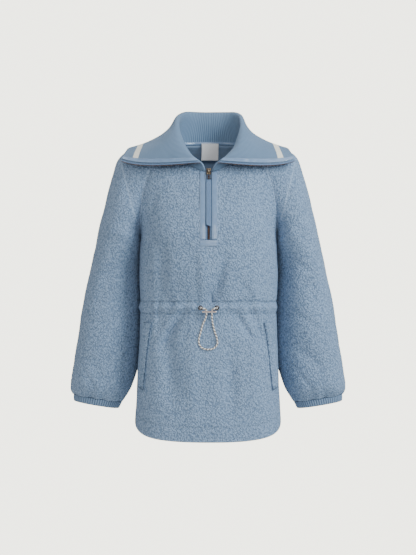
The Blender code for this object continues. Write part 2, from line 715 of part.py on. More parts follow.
def whole_collar(columns, down):
    """Both halves of the collar, from the left front edge round the back to the right one."""
    places = np.linspace(0, 1, columns) ** 0.9
    half, seam = collar_surface(places, down)
    return (
        np.concatenate([mirrored(half)[:0:-1], half]),
        np.concatenate([mirrored(seam)[:0:-1], seam]),
    )


def collar():
    down = np.r_[np.linspace(0, STAND_SHARE, ROLL_ROW + 1), np.linspace(STAND_SHARE, 1, 9)[1:]]
    hidden, seam = whole_collar(COLLAR_COLUMNS, down)
    aim = normals(hidden)
    if aim[COLLAR_COLUMNS - 1, 1, 1] > 0:
        aim = -aim
    seen = hidden + aim * KNIT
    seen[:, 0] = hidden[:, 0] - seam * KNIT * 0.8
    hidden = step_back(hidden, columns=(0,), by=0.35)
    seen = step_back(seen, columns=(0,), by=0.35)
    wall("collar", seen, hidden, "rib_knit")
    return seen


def across_collar(grid, rows_at, distances):
    """Points of the collar's face at these distances in from its front edge, at fractional rows.

    grid holds the profiles from the front edge inwards. A distance below 0 lies past the edge.
    """
    out = []
    for row in rows_at:
        low = min(int(row), grid.shape[1] - 2)
        line = grid[:, low] + (row - low) * (grid[:, low + 1] - grid[:, low])
        far = np.r_[0, np.cumsum(np.linalg.norm(np.diff(line, axis=0), axis=1))]
        inside = np.stack([np.interp(distances, far, line[:, k]) for k in range(3)], -1)
        beyond = np.minimum(distances, 0)[:, None] * unit(line[1] - line[0])
        out.append(inside + beyond)
    return np.stack(out)


def pair(name, base, lift, thick, finish):
    """A strip of the right half and its mirror image on the left, raised to face front or up."""
    aim = normals(base)
    aim = -aim if (aim[..., 2] - aim[..., 1]).sum() < 0 else aim
    plate(f"{name}_right", base, thick, finish, lift, aim)
    plate(f"{name}_left", mirrored(base), thick, finish, lift, mirrored(aim))


def collar_trims(seen):
    """Satin facings on the collar's front edges, with the open zip's tape and teeth beyond them."""
    half = seen[: COLLAR_COLUMNS - 2 : -1]
    begins = np.interp(TRIM_FROM_X, half[0, ROLL_ROW:, 0], np.arange(ROLL_ROW, half.shape[1]))
    rows_at = np.linspace(begins, half.shape[1] - 1, 14)
    middle = -KNIT / 2
    for name, across, lift, thick, finish in (
        ("collar_satin", (0.3, 0.3 + FACING_WIDTH), FACING_LIFT, SATIN_THICK, "satin"),
        ("collar_tape", EDGE_TAPE, middle - TAPE_THICK / 2, TAPE_THICK, "zip_tape"),
        ("collar_teeth", EDGE_TEETH, middle - TEETH_THICK / 2, TEETH_THICK, "teeth_metal"),
    ):
        pair(name, across_collar(half, rows_at, np.linspace(*across, 3)), lift, thick, finish)


def neck_tape_and_label(seen):
    """A satin tape over the neck seam inside the back, and the blank label that hangs from it."""
    reach = 9
    back = seen[COLLAR_COLUMNS - 1 - reach : COLLAR_COLUMNS + reach]
    out = []
    for profile in back:
        far = np.r_[0, np.cumsum(np.linalg.norm(np.diff(profile, axis=0), axis=1))]
        out.append(np.stack([np.interp(NECK_TAPE, far, profile[:, k]) for k in range(3)], -1))
    base = np.stack(out)
    aim = normals(base)
    aim = -aim if aim[reach, 0, 1] > 0 else aim
    plate("neck_tape", base, NECK_TAPE_THICK, "satin", LIFT, aim)
    half_angle = math.degrees(math.asin(LABEL_SIZE / 2 / NECK_HALF_WIDTH))
    across = neck(np.abs(np.linspace(-half_angle, half_angle, 7)))
    across[:3, 0] *= -1
    heights = np.linspace(LABEL_TOP, LABEL_TOP - LABEL_SIZE, 4)
    label = np.repeat(across[None], 4, axis=0)
    label[..., 1] -= KNIT + NECK_TAPE_THICK + 2 * LIFT + LABEL_STANDS_OFF
    label[..., 2] = heights[:, None]
    behind = label + np.array([0, LABEL_THICK, 0])
    wall("label", label, behind, "label_cloth")


def zip_and_placket():
    """The closed zip in the front's notch, and the satin facing on both sides and below it."""
    fine = np.linspace(0, 1, 241)

    def strip(levels, across):
        rows = body_rows(np.asarray(levels), "front", fine)
        base = at_x(rows, np.abs(across))
        base[..., 0] *= np.sign(across)
        return base

    front = np.array([0, -1, 0])

    def forward(base):
        aim = normals(base)
        return aim if (aim @ front).sum() > 0 else -aim

    down = np.r_[0.06, RAGLAN_ROWS[1:-1], PLACKET_ENDS]
    chain = np.r_[CHAIN_STARTS, RAGLAN_ROWS[1:-1], PLACKET_ENDS]
    tape = strip(np.r_[down[:-1], NOTCH_LEVEL - 0.05], np.array([TEETH_HALF + 0.3, NOTCH_HALF - 0.3]))
    pair("zip_tape", tape, -TAPE_SUNK - TAPE_THICK, TAPE_THICK, "zip_tape")
    pair("placket_satin", strip(down, np.linspace(SATIN_IN, SATIN_OUT, 3)), LIFT, SATIN_THICK, "satin")
    teeth = strip(chain, np.array([-TEETH_HALF, TEETH_HALF]))
    plate("zip_teeth", teeth, TEETH_THICK, "teeth_metal", -1.6, forward(teeth))
    base = strip(PLACKET_BASE, np.array([-SATIN_OUT, -SATIN_IN, SATIN_IN, SATIN_OUT]))
    plate("placket_base", base, SATIN_THICK, "satin", LIFT, forward(base))
    pull = strip(np.linspace(PULL_FROM, PULL_TO, 7), np.array([-PULL_HALF, 0, PULL_HALF]))
    aim = forward(pull)
    pull[-1, :, 2] += PULL_SLANT
    plate("pull_tab", pull, PULL_THICK, "zip_tape", PULL_LIFT, aim)


def welts():
    """The pocket welts on the front near its side seams."""
    rows = body_rows(WELT_LEVELS, "front", np.linspace(0, 1, 241))
    inner, outer = (np.linspace(*ends, len(rows)) for ends in (WELT_INNER, WELT_OUTER))
    across = np.linspace(inner, outer, 5, axis=1)
    base = np.stack([at_x(row[None], x)[0] for row, x in zip(rows, across)])
    pair("pocket_welt", base, LIFT, WELT_THICK, "fleece")


def cloth_y(x, z):
    """How far forward the front's outer face is at this distance from the middle and this height."""
    rows = body_rows(np.linspace(8, 12, 33), "front", np.linspace(0, 1, 121))
    column = at_x(rows, np.array([abs(x)]))[:, 0]
    return float(np.interp(-z, -column[:, 2], column[:, 1]))


def cord_route():
    """The drawcord from one eyelet through the bar, down in a loop and back, as evenly read points."""
    points = np.array([(x, cloth_y(x, z) - off, z) for x, z, off in zip(*CORD.values())])
    knots = np.r_[0, np.cumsum(np.linalg.norm(np.diff(points, axis=0), axis=1))]
    length = knots[-1]
    at = np.linspace(0, length, int(length / (1.2 * CORD_WIDE)) + 1)
    return lean(np.stack([smooth(at, knots, points[:, k]) for k in range(3)], -1))


def tube(name, points, radius, finish, closed=False, resolution=2):
    """A poly curve through points in metres, with a round bevel."""
    curve = bpy.data.curves.new(name, "CURVE")
    curve.dimensions = "3D"
    curve.bevel_depth = radius
    curve.bevel_resolution = resolution
    curve.use_fill_caps = not closed
    spline = curve.splines.new("POLY")
    spline.points.add(len(points) - 1)
    for target, point in zip(spline.points, points):
        target.co = (*point, 1)
    spline.use_cyclic_u = closed
    curve.materials.append(material(finish))
    obj = bpy.data.objects.new(name, curve)
    pullover.objects.link(obj)
    return obj


def as_mesh(obj, name, finish):
    """The object's evaluated shape as a welded mesh object in its place."""
    bpy.context.view_layer.update()
    mesh = bpy.data.meshes.new_from_object(obj.evaluated_get(bpy.context.evaluated_depsgraph_get()))
    bm = bmesh.new()
    bm.from_mesh(mesh)
    bmesh.ops.remove_doubles(bm, verts=bm.verts, dist=1e-6)
    bmesh.ops.recalc_face_normals(bm, faces=bm.faces)
    bm.to_mesh(mesh)
    bm.free()
    place = obj.matrix_world.copy()
    bpy.data.objects.remove(obj, do_unlink=True)
    made = add(name, mesh, finish)
    made.matrix_world = place
    return made


def block(name, size, bevel, finish):
    """A box in metres with rounded edges, as a mesh."""
    bpy.ops.mesh.primitive_cube_add(size=1)
    obj = bpy.context.active_object
    obj.data.transform(Matrix.Diagonal((*size, 1)))
    round_off = obj.modifiers.new("rounding", "BEVEL")
    round_off.width = bevel
    round_off.segments = 2
    return as_mesh(obj, name, finish)


def join(obj, other, operation):
    """Joins or cuts obj with other, and leaves one mesh."""
    step = obj.modifiers.new(operation.lower(), "BOOLEAN")
    step.operation = operation
    step.object = other
    name, finish = obj.name, obj.data.materials[0].name
    made = as_mesh(obj, name + "_made", finish)
    made.name = name
    bpy.data.objects.remove(other, do_unlink=True)
    return made


def slider_and_loop():
    """The zip's slider with its bail, and the loop that hangs in the bail and swings on it."""
    centre = lean(np.array([[0, *SLIDER_AT]]))[0] * MM
    place = Matrix.Translation(centre) @ Matrix.Rotation(SLIDER_SLOPE, 4, "X")
    body_part = block("slider", np.array(SLIDER_SIZE) * MM, 0.7 * MM, "slider_metal")
    arch = np.stack([0 * BAIL["y"], BAIL["y"], BAIL["z"]], -1)
    bail = tube("bail", arch * MM, BAIL_WIRE * MM, "slider_metal")
    slider = join(body_part, as_mesh(bail, "bail_mesh", "slider_metal"), "UNION")
    slider.matrix_world = place
    angle = np.radians(np.linspace(0, 90, 5) + np.array([[0], [90], [180], [270]]))
    side, low = LOOP_HALF - LOOP_CORNER, LOOP_CORNER - LOOP_TALL
    x = np.array([[side], [-side], [-side], [side]]) + LOOP_CORNER * np.cos(angle)
    z = np.array([[-LOOP_CORNER], [-LOOP_CORNER], [low], [low]]) + LOOP_CORNER * np.sin(angle)
    ring = np.stack([x, 0 * x, z], -1).reshape(-1, 3)
    wire = tube("loop", ring * MM, LOOP_WIRE * MM, "pull_rubber", closed=True)
    loop = as_mesh(wire, "pull_loop", "pull_rubber")
    swing = Matrix.Rotation(LOOP_TILT, 4, "X")
    loop.matrix_world = place @ Matrix.Translation((0, PIVOT_OUT * MM, 0)) @ swing


def eyelets_and_cord():
    """Two eyelets in the waist channel, the drawcord's loop between them, and the bar it runs through."""
    for side, sign in (("left", -1), ("right", 1)):
        x, z = sign * EYELET_X, EYELET_Z
        centre = lean(np.array([[x, cloth_y(x, z) - EYELET_WIRE - LIFT, z]]))[0] * MM
        bpy.ops.mesh.primitive_torus_add(
            major_radius=EYELET_RING * MM, minor_radius=EYELET_WIRE * MM, major_segments=20, minor_segments=6
        )
        ring = bpy.context.active_object
        ring.data.transform(Matrix.Translation(centre) @ Matrix.Rotation(math.pi / 2, 4, "X"))
        as_mesh(ring, f"eyelet_{side}", "slider_metal")
    tube("drawcord", cord_route() * MM, CORD_WIDE / 2 * MM, "cord_yarn")
    bar = block("cord_bar", np.array(BAR_SIZE) * MM, 1.2 * MM, "bar_metal")
    centre = np.array([BAR_X, cloth_y(BAR_X, BAR_Z) - BAR_OFF, BAR_Z])
    for x in BAR_HOLES:
        bpy.ops.mesh.primitive_cylinder_add(
            vertices=16, radius=BAR_HOLE * MM, depth=0.03, location=((x - BAR_X) * MM, 0, 0)
        )
        hole = bpy.context.active_object
        hole.data.transform(hole.matrix_world)
        hole.matrix_world = Matrix.Identity(4)
        hole.hide_render = True
        bar = join(bar, hole, "DIFFERENCE")
    bar.matrix_world = Matrix.Translation(lean(centre[None])[0] * MM)


def main():
    global pullover
    for obj in list(bpy.data.objects):
        bpy.data.objects.remove(obj, do_unlink=True)
    pullover = bpy.data.collections.new("half_zip_fleece_pullover")
    bpy.context.scene.collection.children.link(pullover)
    grids, aims = body_and_arms()
    body(grids, aims)
    arms(grids, aims)
    cuffs()
    seen = collar()
    collar_trims(seen)
    neck_tape_and_label(seen)
    zip_and_placket()
    welts()
    slider_and_loop()
    eyelets_and_cord()


main()
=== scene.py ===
"""A half-zip fleece pullover, filled out as if it were worn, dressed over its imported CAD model.

The walls repeat the part's own tables and curves, in millimetres, on grids about 2.5 mm apart, so
each cloth piece lies where its solid does. The fleece's pebbles are raised in those points, and so
are the gathers at the waist and at the wrists, the grooves of the topstitching and the soft creases.
Ribs, teeth, stitches and the twist of the cord are worked out from formulas along the same lines.
"""

import math

import bpy
import numpy as np
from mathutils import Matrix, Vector


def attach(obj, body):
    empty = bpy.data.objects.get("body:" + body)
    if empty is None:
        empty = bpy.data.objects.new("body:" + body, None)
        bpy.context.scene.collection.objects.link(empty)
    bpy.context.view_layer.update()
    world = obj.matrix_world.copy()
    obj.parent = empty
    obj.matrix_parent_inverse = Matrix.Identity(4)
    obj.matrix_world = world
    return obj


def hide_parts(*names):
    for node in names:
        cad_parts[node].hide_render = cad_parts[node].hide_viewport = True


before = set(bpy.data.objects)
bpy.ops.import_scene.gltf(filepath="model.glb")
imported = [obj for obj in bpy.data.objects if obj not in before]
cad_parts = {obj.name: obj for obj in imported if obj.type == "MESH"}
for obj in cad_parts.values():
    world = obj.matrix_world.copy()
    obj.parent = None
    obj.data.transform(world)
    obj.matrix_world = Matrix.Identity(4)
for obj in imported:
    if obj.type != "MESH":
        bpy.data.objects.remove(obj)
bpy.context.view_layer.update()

MM = 0.001
SIDES = ((1, "right"), (-1, "left"))

# Sizes in millimetres: how thick the walls are, and how far what is sewn on lies off its panel.
FLEECE = 2.4
KNIT = 3.2
HEM_FOLD = 4.4
LIFT = 0.35

# The neck seam. Angles round it, in degrees, begin at the middle of the back.
NECK_HALF_WIDTH = 88.0
NECK_MIDDLE_Y = -5.0
NECK_FRONT_DEPTH = 81.0
NECK_BACK_DEPTH = 65.0
NECK_SIDE_Z = 12.0
NECK_FRONT_DROP = 71.0
NECK_BACK_RISE = 7.0
FRONT_SEAM_ANGLE = 117.6
BACK_SEAM_ANGLE = 58.4

# The zip's slit, by distances from its middle, and the level where it ends.
NOTCH_HALF = 8.2
NOTCH_LEVEL = 6.0
TEETH_HALF = 2.6
TAPE_THICK = 1.2
TAPE_SUNK = 0.8
SATIN_IN = 6.9
SATIN_OUT = 20.5
SATIN_THICK = 1.0


def table(text):
    """Named columns from a block of text: the names, then one row of numbers a line."""
    names, *rows = text.strip().splitlines()
    return dict(zip(names.split(), np.array([row.split() for row in rows], float).T))


def smooth(at, knots, values):
    """The table's values joined by cubic pieces that pass each knot at the slope of its neighbours."""
    at, knots, values = (np.asarray(a, float) for a in (at, knots, values))
    slope = np.gradient(values, knots)
    i = np.clip(np.searchsorted(knots, at, side="right") - 1, 0, len(knots) - 2)
    width = knots[i + 1] - knots[i]
    t = (at - knots[i]) / width
    rise = values[i + 1] - values[i]
    start, end = slope[i] * width, slope[i + 1] * width
    return values[i] + t * (start + t * (3 * rise - 2 * start - end + t * (start + end - 2 * rise)))


def read(rows, at, names):
    """Columns of a table at these levels, side by side."""
    return np.stack([smooth(at, rows["level"], rows[name]) for name in names.split()], -1)


# Levels down the body and down an arm: 0 the neck seam, 1 under the collar, 2 the shoulder, 3 its
# point, 4 upper chest, 5 chest, 6 underarm. On the body 7 ribs, 8 to 10 the waist channel,
# 11 pockets, 12 hips, 13 hem. On an arm 7 to 10 down to the wrist, 11 to 13 where it blouses.
RAGLAN = table(
    """
    level top_x top_y top_z front_x front_y front_z back_x back_y back_z
    0 88 -5 12 78 -42.5 -3 75 29 14
    1 128 -1 13 106 -57 -24 104 58 2
    2 172 4 7 130 -63 -40 130 80 -20
    3 213 12 -17 144 -63 -68 145 84 -60
    4 232 17 -66 155 -58 -108 155 78 -106
    5 249.5 21 -135 162.5 -43 -160 161 54 -162
    6 265 25 -197 163.5 8 -215 163.5 8 -215
    """
)
SIDE_SEAM = table(
    """
    level x y z
    6 163.5 8 -215
    7 165.6 3 -290
    8 163.5 0 -361
    9 165.3 0 -375
    10 163.5 0 -389
    11 164.5 0 -441
    12 168.8 0 -533
    13 174.5 0 -642
    """
)
# How far the cloth's normal is raised from level at the neck seam, by the angle round the neck.
NECK_TILT = table(
    """
    angle tilt
    0 12
    45 25
    90 42
    130 15
    180 -15
    """
)
# turn is the angle in plan at which a row meets its seam, climb its rise there, lead and trail the
# lengths of the curve's handles.
FRONT = table(
    """
    level mid_y mid_z turn climb lead trail
    0 -86 -59 65 0.9 0.4 0.4
    1 -95 -82 32 0.6 0.42 0.36
    2 -102 -104 28 0.46 0.42 0.36
    3 -109 -129 31 0.34 0.44 0.38
    4 -116 -156 38 0.2 0.48 0.42
    5 -123 -190 54 0.1 0.56 0.5
    6 -127 -228 90 0.095 0.66 0.66
    7 -125 -297 90 0.05 0.66 0.66
    8 -111 -361 90 0.0 0.68 0.68
    9 -113 -375 90 0.0 0.68 0.68
    10 -111 -389 90 0.0 0.68 0.68
    11 -115 -443 90 0.02 0.69 0.69
    12 -119 -552 90 0.16 0.72 0.72
    13 -120 -686 90 0.367 0.766 0.766
    """
)
BACK = table(
    """
    level mid_y mid_z turn climb lead trail
    0 60 19 60 0.0 0.4 0.4
    1 77 -8 24 0.12 0.42 0.36
    2 88 -34 18 0.16 0.42 0.36
    3 95 -70 24 0.14 0.44 0.38
    4 99 -108 32 0.05 0.48 0.42
    5 103 -160 50 0.0 0.56 0.5
    6 105 -215 90 0.0 0.66 0.66
    7 106 -290 90 0.0 0.66 0.66
    8 102 -361 90 0.0 0.68 0.68
    9 104 -375 90 0.0 0.68 0.68
    10 102 -389 90 0.0 0.68 0.68
    11 107 -441 90 0.0 0.69 0.69
    12 115 -543 90 0.09 0.72 0.72
    13 120 -672 90 0.25 0.766 0.766
    """
)
# The upper arm's half-rows run from the top line to a raglan seam: arrive is the angle in plan at
# which they reach it, fall their drop there.
UPPER_ARM = table(
    """
    level lead trail arrive fall
    0 0.36 0.36 -30 -0.4
    1 0.36 0.34 -22 -0.55
    2 0.4 0.36 -15 -0.5
    3 0.42 0.38 5 -0.4
    4 0.5 0.42 25 -0.3
    5 0.68 0.54 58 -0.12
    6 1.04 1.04 90 0.0
    """
)
# Below the underarm a sleeve is a ring through its outer line and its inner seam, which bulges to
# the front and to the back. tuck leans the front half out round the body's side, behind which the
# inner seam hangs.
LOWER_ARM = table(
    """
    level out_x out_y out_z in_x in_y in_z front back tuck
    6 265 25 -197 163.5 8 -215 80 80 0
    7 279 26 -264 165 46 -282 82 67 9
    8 295 27 -336 161.5 50 -354 80.5 63.5 13
    9 308.5 27 -408 161.5 50 -425 78 62 13
    10 318.6 26 -478 163.5 48 -495 74.5 61.5 11
    11 327.5 24 -532 177.5 36 -546 67 63 4
    12 331.5 22 -563 188.5 29 -575 58 56 0
    12.6 330 21 -577 199 26 -591 47 47 0
    13 324.5 21 -585.3 207.5 25 -604.0 37 37 0
    """
)
CUFF = table(
    """
    level out_x out_y out_z in_x in_y in_z front back tuck
    0 324.5 21 -585.7 207.5 25 -604.4 37 37 0
    1 324.6 20 -594 211.5 24.5 -613 36 36 0
    2 324.0 20 -602 215.5 24 -621 34.5 34.5 0
    """
)
CUFF_RIBS = 60
RIB_DEPTH = 1.1

# The collar by its place round the neck, 0 at the middle of the back and 1 at the front edge: angle
# round the neck seam, the roll at the top of its stand, and the outer edge where its fall ends. up,
# out and down are the directions there.
COLLAR = table(
    """
    level angle roll_x roll_y roll_z edge_x edge_y edge_z
    0 0 0 73 98 0 113 -24
    0.14 28 34 69 98 60 111 -24
    0.28 52 61 52 96 118 98 -20
    0.4 72 74 30 87 160 68 0
    0.52 92 77 4 75 184 20 5
    0.64 111 78 -22 56 190 -12 1
    0.76 130 74 -48 31 195 -30 -8
    0.88 150 61 -77 -2 200 -46 -19
    0.95 163 43 -93 -23 202 -54 -25
    1 174.66 24 -101 -37 203 -60 -29
    """
)
COLLAR_AIM = table(
    """
    level up_x up_y up_z out_x out_y out_z down_x down_y down_z root roll fall
    0 0 0.05 1 0 1 0 0 0.1 -1 30 22 50
    0.28 0.15 0.05 1 0.62 0.78 0 0.3 0.25 -0.9 30 18 60
    0.4 0.05 0.02 1 0.85 0.45 -0.1 0.8 0.1 -0.25 28 12 76
    0.52 -0.05 0 1 1 0 -0.15 0.97 -0.02 -0.2 25 10 94
    0.64 -0.03 -0.12 1 0.95 -0.25 -0.15 0.96 0.02 -0.28 24 10 98
    0.76 0 -0.25 1 0.86 -0.5 0 0.97 0.08 -0.19 22 14 80
    0.88 0.1 -0.5 0.8 0.8 -0.6 0.1 0.95 0.2 -0.06 14 16 66
    1 0.1 -0.9 0.4 0.85 -0.4 0.35 0.85 0.45 0.34 6 12 68
    """
)
STAND_SHARE = 0.36

# Soft troughs pressed into the cloth, seen from the front: from one end to the other, then width
# and depth. A negative depth is a ridge.
FRONT_FOLDS = table(
    """
    x1 z1 x2 z2 width depth
    -76 -392 -104 -462 13 3.5
    -106 -392 -114 -425 10 2.5
    90 -365 112 -430 13 3.5
    98 -360 128 -462 12 3.0
    4 -335 6 -366 9 3.0
    -40 -396 -52 -440 12 2.0
    48 -396 58 -445 12 2.2
    -60 -300 -84 -352 14 2.0
    66 -290 84 -350 14 2.4
    196 -34 184 -128 12 3.0
    -196 -34 -184 -128 12 3.0
    232 -300 262 -372 16 4.0
    -228 -290 -262 -356 16 4.0
    214 -470 268 -520 15 4.0
    -214 -460 -262 -512 15 4.0
    280 -500 244 -556 12 3.0
    -284 -492 -246 -552 12 3.0
    """
)
BACK_FOLDS = table(
    """
    x1 z1 x2 z2 width depth
    -70 -392 -92 -470 13 3.5
    78 -392 104 -462 13 3.5
    10 -394 4 -440 12 2.5
    -54 -280 -74 -352 14 2.4
    50 -290 70 -350 14 2.2
    0 -300 -6 -350 12 2.0
    118 -120 96 -190 15 3.0
    -118 -120 -96 -190 15 3.0
    230 -296 262 -360 16 4.0
    -226 -300 -260 -368 16 4.0
    212 -470 264 -524 15 4.0
    -216 -464 -266 -514 15 4.0
    """
)

# The collar's front edge carries half of the open zip: distances from the edge, past it if below 0.
FACING_WIDTH = 13.0
FACING_LIFT = 0.8
EDGE_TAPE = (-5.6, -0.8)
EDGE_TEETH = (-8.1, -5.9)
TRIM_FROM_X = 25.0
TRIM_ROWS, TRIM_COLUMNS = 91, 11
NECK_TAPE = (1.2, 8.2)
NECK_TAPE_THICK = 0.8
LABEL_SIZE = 41.5
LABEL_TOP = 21.8
LABEL_THICK = 0.8
LABEL_STANDS_OFF = 1.0
LABEL_STEPS = 31

# The zip below the slider, by levels of the front.
ZIP_TOP = 0.06
CHAIN_STARTS = 0.36
PLACKET_ENDS = 5.78
PLACKET_BASE = (5.81, 6.1)
PULL_FROM, PULL_TO = 0.86, 4.9
PULL_HALF = 6.0
PULL_LIFT = 2.2
PULL_THICK = 1.6
# The tab is pressed thinner at this distance down its length.
PULL_LENGTH, PULL_PRESSED_AT = 112, 9
PULL_SLANT = np.array([2.5, 0, -2.5])
# The pocket welts' inner and outer edges run between these distances from the middle.
WELT_LEVELS = (10.5, 12.2)
WELT_STEPS = 61
WELT_INNER = (129, 149)
WELT_OUTER = (150, 163)
WELT_THICK = 2.2
# How dark the painted shadow line round each welt is, the right one's and the left one's.
WELT_SHADOW_LINES = (1.1, 2.2)

EYELET_X, EYELET_Z = 18.7, -375.0
EYELET_RING, EYELET_WIRE = 4.3, 1.3
CORD_WIDE = 4.2
# off is how far the cord's middle stands off the front's outer face.
CORD = table(
    """
    x z off
    -18.7 -375 0.8
    -18.6 -375 4.5
    -15.6 -375.6 8.0
    -9.6 -377.2 9.4
    -5.4 -380.6 8.2
    -5 -384 8.3
    -5 -388 8.5
    -7.0 -399 6.0
    -12.4 -411 3.4
    -18.4 -431.6 3.0
    -22 -446 3.0
    -22 -457 3.0
    -16 -466.5 3.0
    -1.5 -470.8 3.0
    13 -467.5 3.0
    20 -458 3.0
    19.6 -447 3.0
    13.8 -429.3 3.0
    10 -413.2 3.4
    8.0 -399 6.0
    7.7 -388 8.5
    7.7 -384 8.3
    8.1 -380.6 8.2
    11.4 -377.2 9.4
    15.8 -375.6 8.0
    18.6 -375 4.5
    18.7 -375 0.8
    """
)

# How far the garment leans to the right at its chest's sides, at the neck and along the zip.
LEAN = table(
    """
    z chest
    -700 0
    -560 0
    -440 0.5
    -360 1
    -150 1
    -60 0.4
    0 0
    100 0
    """
)
LEAN_NECK = 5.0
LEAN_ZIP = 1.5


def unit(v):
    """Each vector divided by its length."""
    return v / np.maximum(np.linalg.norm(v, axis=-1, keepdims=True), 1e-9)


def line_length(points):
    """How far along its line each point is."""
    return np.r_[0, np.cumsum(np.linalg.norm(np.diff(points, axis=0), axis=1))]


def row_lengths(points):
    """How far along its row each point of a grid is."""
    steps = np.linalg.norm(np.diff(points, axis=1), axis=2)
    return np.concatenate([0 * steps[:, :1], np.cumsum(steps, axis=1)], axis=1)


def between(places, knots, points):
    """Points at these places on a line whose own points are at the knots."""
    return np.stack([np.interp(places, knots, points[:, k]) for k in range(3)], -1)


def cubic(p0, p1, p2, p3, t):
    """Rows of points on cubic curves: the four ends and handles are (rows, 3), t is (columns)."""
    t = np.asarray(t, float)[None, :, None]
    p0, p1, p2, p3 = (p[:, None, :] for p in (p0, p1, p2, p3))
    s = 1 - t
    return s**3 * p0 + 3 * s * s * t * p1 + 3 * s * t * t * p2 + t**3 * p3


def neck(angle):
    """The neck seam: two half ellipses in plan, high at the back and dropped at the front."""
    angle = np.radians(np.asarray(angle, float))
    sin, cos = np.sin(angle), np.cos(angle)
    back = cos > 0
    depth = np.where(back, NECK_BACK_DEPTH, NECK_FRONT_DEPTH)
    rise = np.where(back, NECK_BACK_RISE, -NECK_FRONT_DROP)
    return np.stack([NECK_HALF_WIDTH * sin, NECK_MIDDLE_Y + depth * cos, NECK_SIDE_Z + rise * cos * cos], -1)


def neck_normal(angle):
    """Half-way between the panel's normal and the collar's, so that both end on one slanted face."""
    turn = np.radians(np.asarray(angle, float))
    depth = np.where(np.cos(turn) > 0, NECK_BACK_DEPTH, NECK_FRONT_DEPTH)
    out = unit(np.stack([np.sin(turn) / NECK_HALF_WIDTH, np.cos(turn) / depth, 0 * turn], -1))
    tilt = np.radians(smooth(angle, NECK_TILT["angle"], NECK_TILT["tilt"]))[..., None]
    return out * np.cos(tilt) + np.array([0, 0, 1]) * np.sin(tilt)


def folds(points, rows, ahead):
    """Presses the troughs in: each is a Gaussian across its line, deepest half-way along it."""
    moved = points.copy()
    for x1, z1, x2, z2, width, depth in zip(*rows.values()):
        along = np.array([x2 - x1, z2 - z1])
        offset = points[..., (0, 2)] - np.array([x1, z1])
        share = (offset @ along) / (along @ along)
        near = np.clip(share, 0, 1)[..., None] * along
        across = np.linalg.norm(offset - near, axis=-1)
        middle = 0.4 + 0.6 * np.sin(np.pi * np.clip(share, 0, 1))
        moved[..., 1] -= ahead * depth * middle * np.exp(-((across / width) ** 2))
    return moved


def seam_line(levels, which):
    """The seam that a panel's row ends at: the raglan seam down to the underarm, then the side seam."""
    raglan = read(RAGLAN, np.minimum(levels, 6), f"{which}_x {which}_y {which}_z")
    side = read(SIDE_SEAM, np.maximum(levels, 6), "x y z")
    return np.where((levels <= 6)[:, None], raglan, side)


def body_curves(levels, which, t):
    """Half-rows of the front or the back as cubics from the middle to the seam, at their shares t."""
    rows, ahead = (FRONT, -1) if which == "front" else (BACK, 1)
    mid_y, mid_z, turn, climb, lead, trail = read(rows, levels, "mid_y mid_z turn climb lead trail").T
    start = np.stack([0 * mid_y, mid_y, mid_z], -1)
    end = seam_line(levels, which)
    turn = np.radians(turn)
    aim = np.stack([np.cos(turn), -ahead * np.sin(turn), climb], -1)
    span = np.abs(end[:, 0]) * np.cos(turn) + np.abs(end[:, 1] - mid_y) * np.sin(turn)
    leave = start + np.stack([lead * end[:, 0], 0 * lead, 0 * lead], -1)
    return cubic(start, leave, end - aim * (trail * span)[:, None], end, t)


def meet_neck(points, levels, first, from_angle, to_angle, t):
    """Eases the rows near the neck, so that the first one lies exactly on the neck seam."""
    exact = neck(from_angle + (to_angle - from_angle) * np.asarray(t))
    return points + (np.clip(1 - levels, 0, 1) ** 2)[:, None, None] * (exact - first)


def body_rows(levels, which, t):
    """The front's or the back's outer half-rows, with the neck seam met and the folds pressed in."""
    ahead, begins, ends = (-1, 180, FRONT_SEAM_ANGLE) if which == "front" else (1, 0, BACK_SEAM_ANGLE)
    first = body_curves(np.zeros(1), which, t)[0]
    points = meet_neck(body_curves(levels, which, t), levels, first, begins, ends, t)
    return folds(points, FRONT_FOLDS if which == "front" else BACK_FOLDS, ahead)


def at_x(rows, x):
    """The points of each row at these distances from the middle."""
    return np.stack([between(x, row[:, 0], row) for row in rows])


def spaced(rows, first_x, columns):
    """Each row read again at even steps along its length, after a first point at first_x."""
    out = []
    for row in rows:
        length = line_length(row)
        begin = np.interp(first_x, row[:, 0], length)
        out.append(between(np.linspace(begin, length[-1], columns), length, row))
    return np.stack(out)


def raglan_curves(levels, which, t):
    """Half-rows of the upper sleeve as cubics from the top line to a raglan seam."""
    ahead = -1 if which == "front" else 1
    top = read(RAGLAN, levels, "top_x top_y top_z")
    end = read(RAGLAN, levels, f"{which}_x {which}_y {which}_z")
    lead, trail, arrive, fall = read(UPPER_ARM, levels, "lead trail arrive fall").T
    arrive = np.radians(arrive)
    chord = np.linalg.norm(end - top, axis=1)
    aim = np.stack([-np.cos(arrive), -ahead * np.sin(arrive), fall], -1)
    leave = top + np.stack([0 * lead, ahead * lead * chord, 0 * lead], -1)
    return cubic(top, leave, end - aim * (trail * chord)[:, None], end, t)


def arm_rows(levels, which, t):
    """Half-rows of a sleeve: raglan rows down to the underarm, and half-rings below it."""
    ahead, seam = (-1, FRONT_SEAM_ANGLE) if which == "front" else (1, BACK_SEAM_ANGLE)
    first = raglan_curves(np.zeros(1), which, t)[0]
    upper = meet_neck(raglan_curves(np.minimum(levels, 6), which, t), levels, first, 90, seam, t)
    lower = half_ring(LOWER_ARM, np.maximum(levels, 6), which, t)
    points = np.where((levels < 6)[:, None, None], upper, lower)
    return folds(points, FRONT_FOLDS if which == "front" else BACK_FOLDS, ahead)


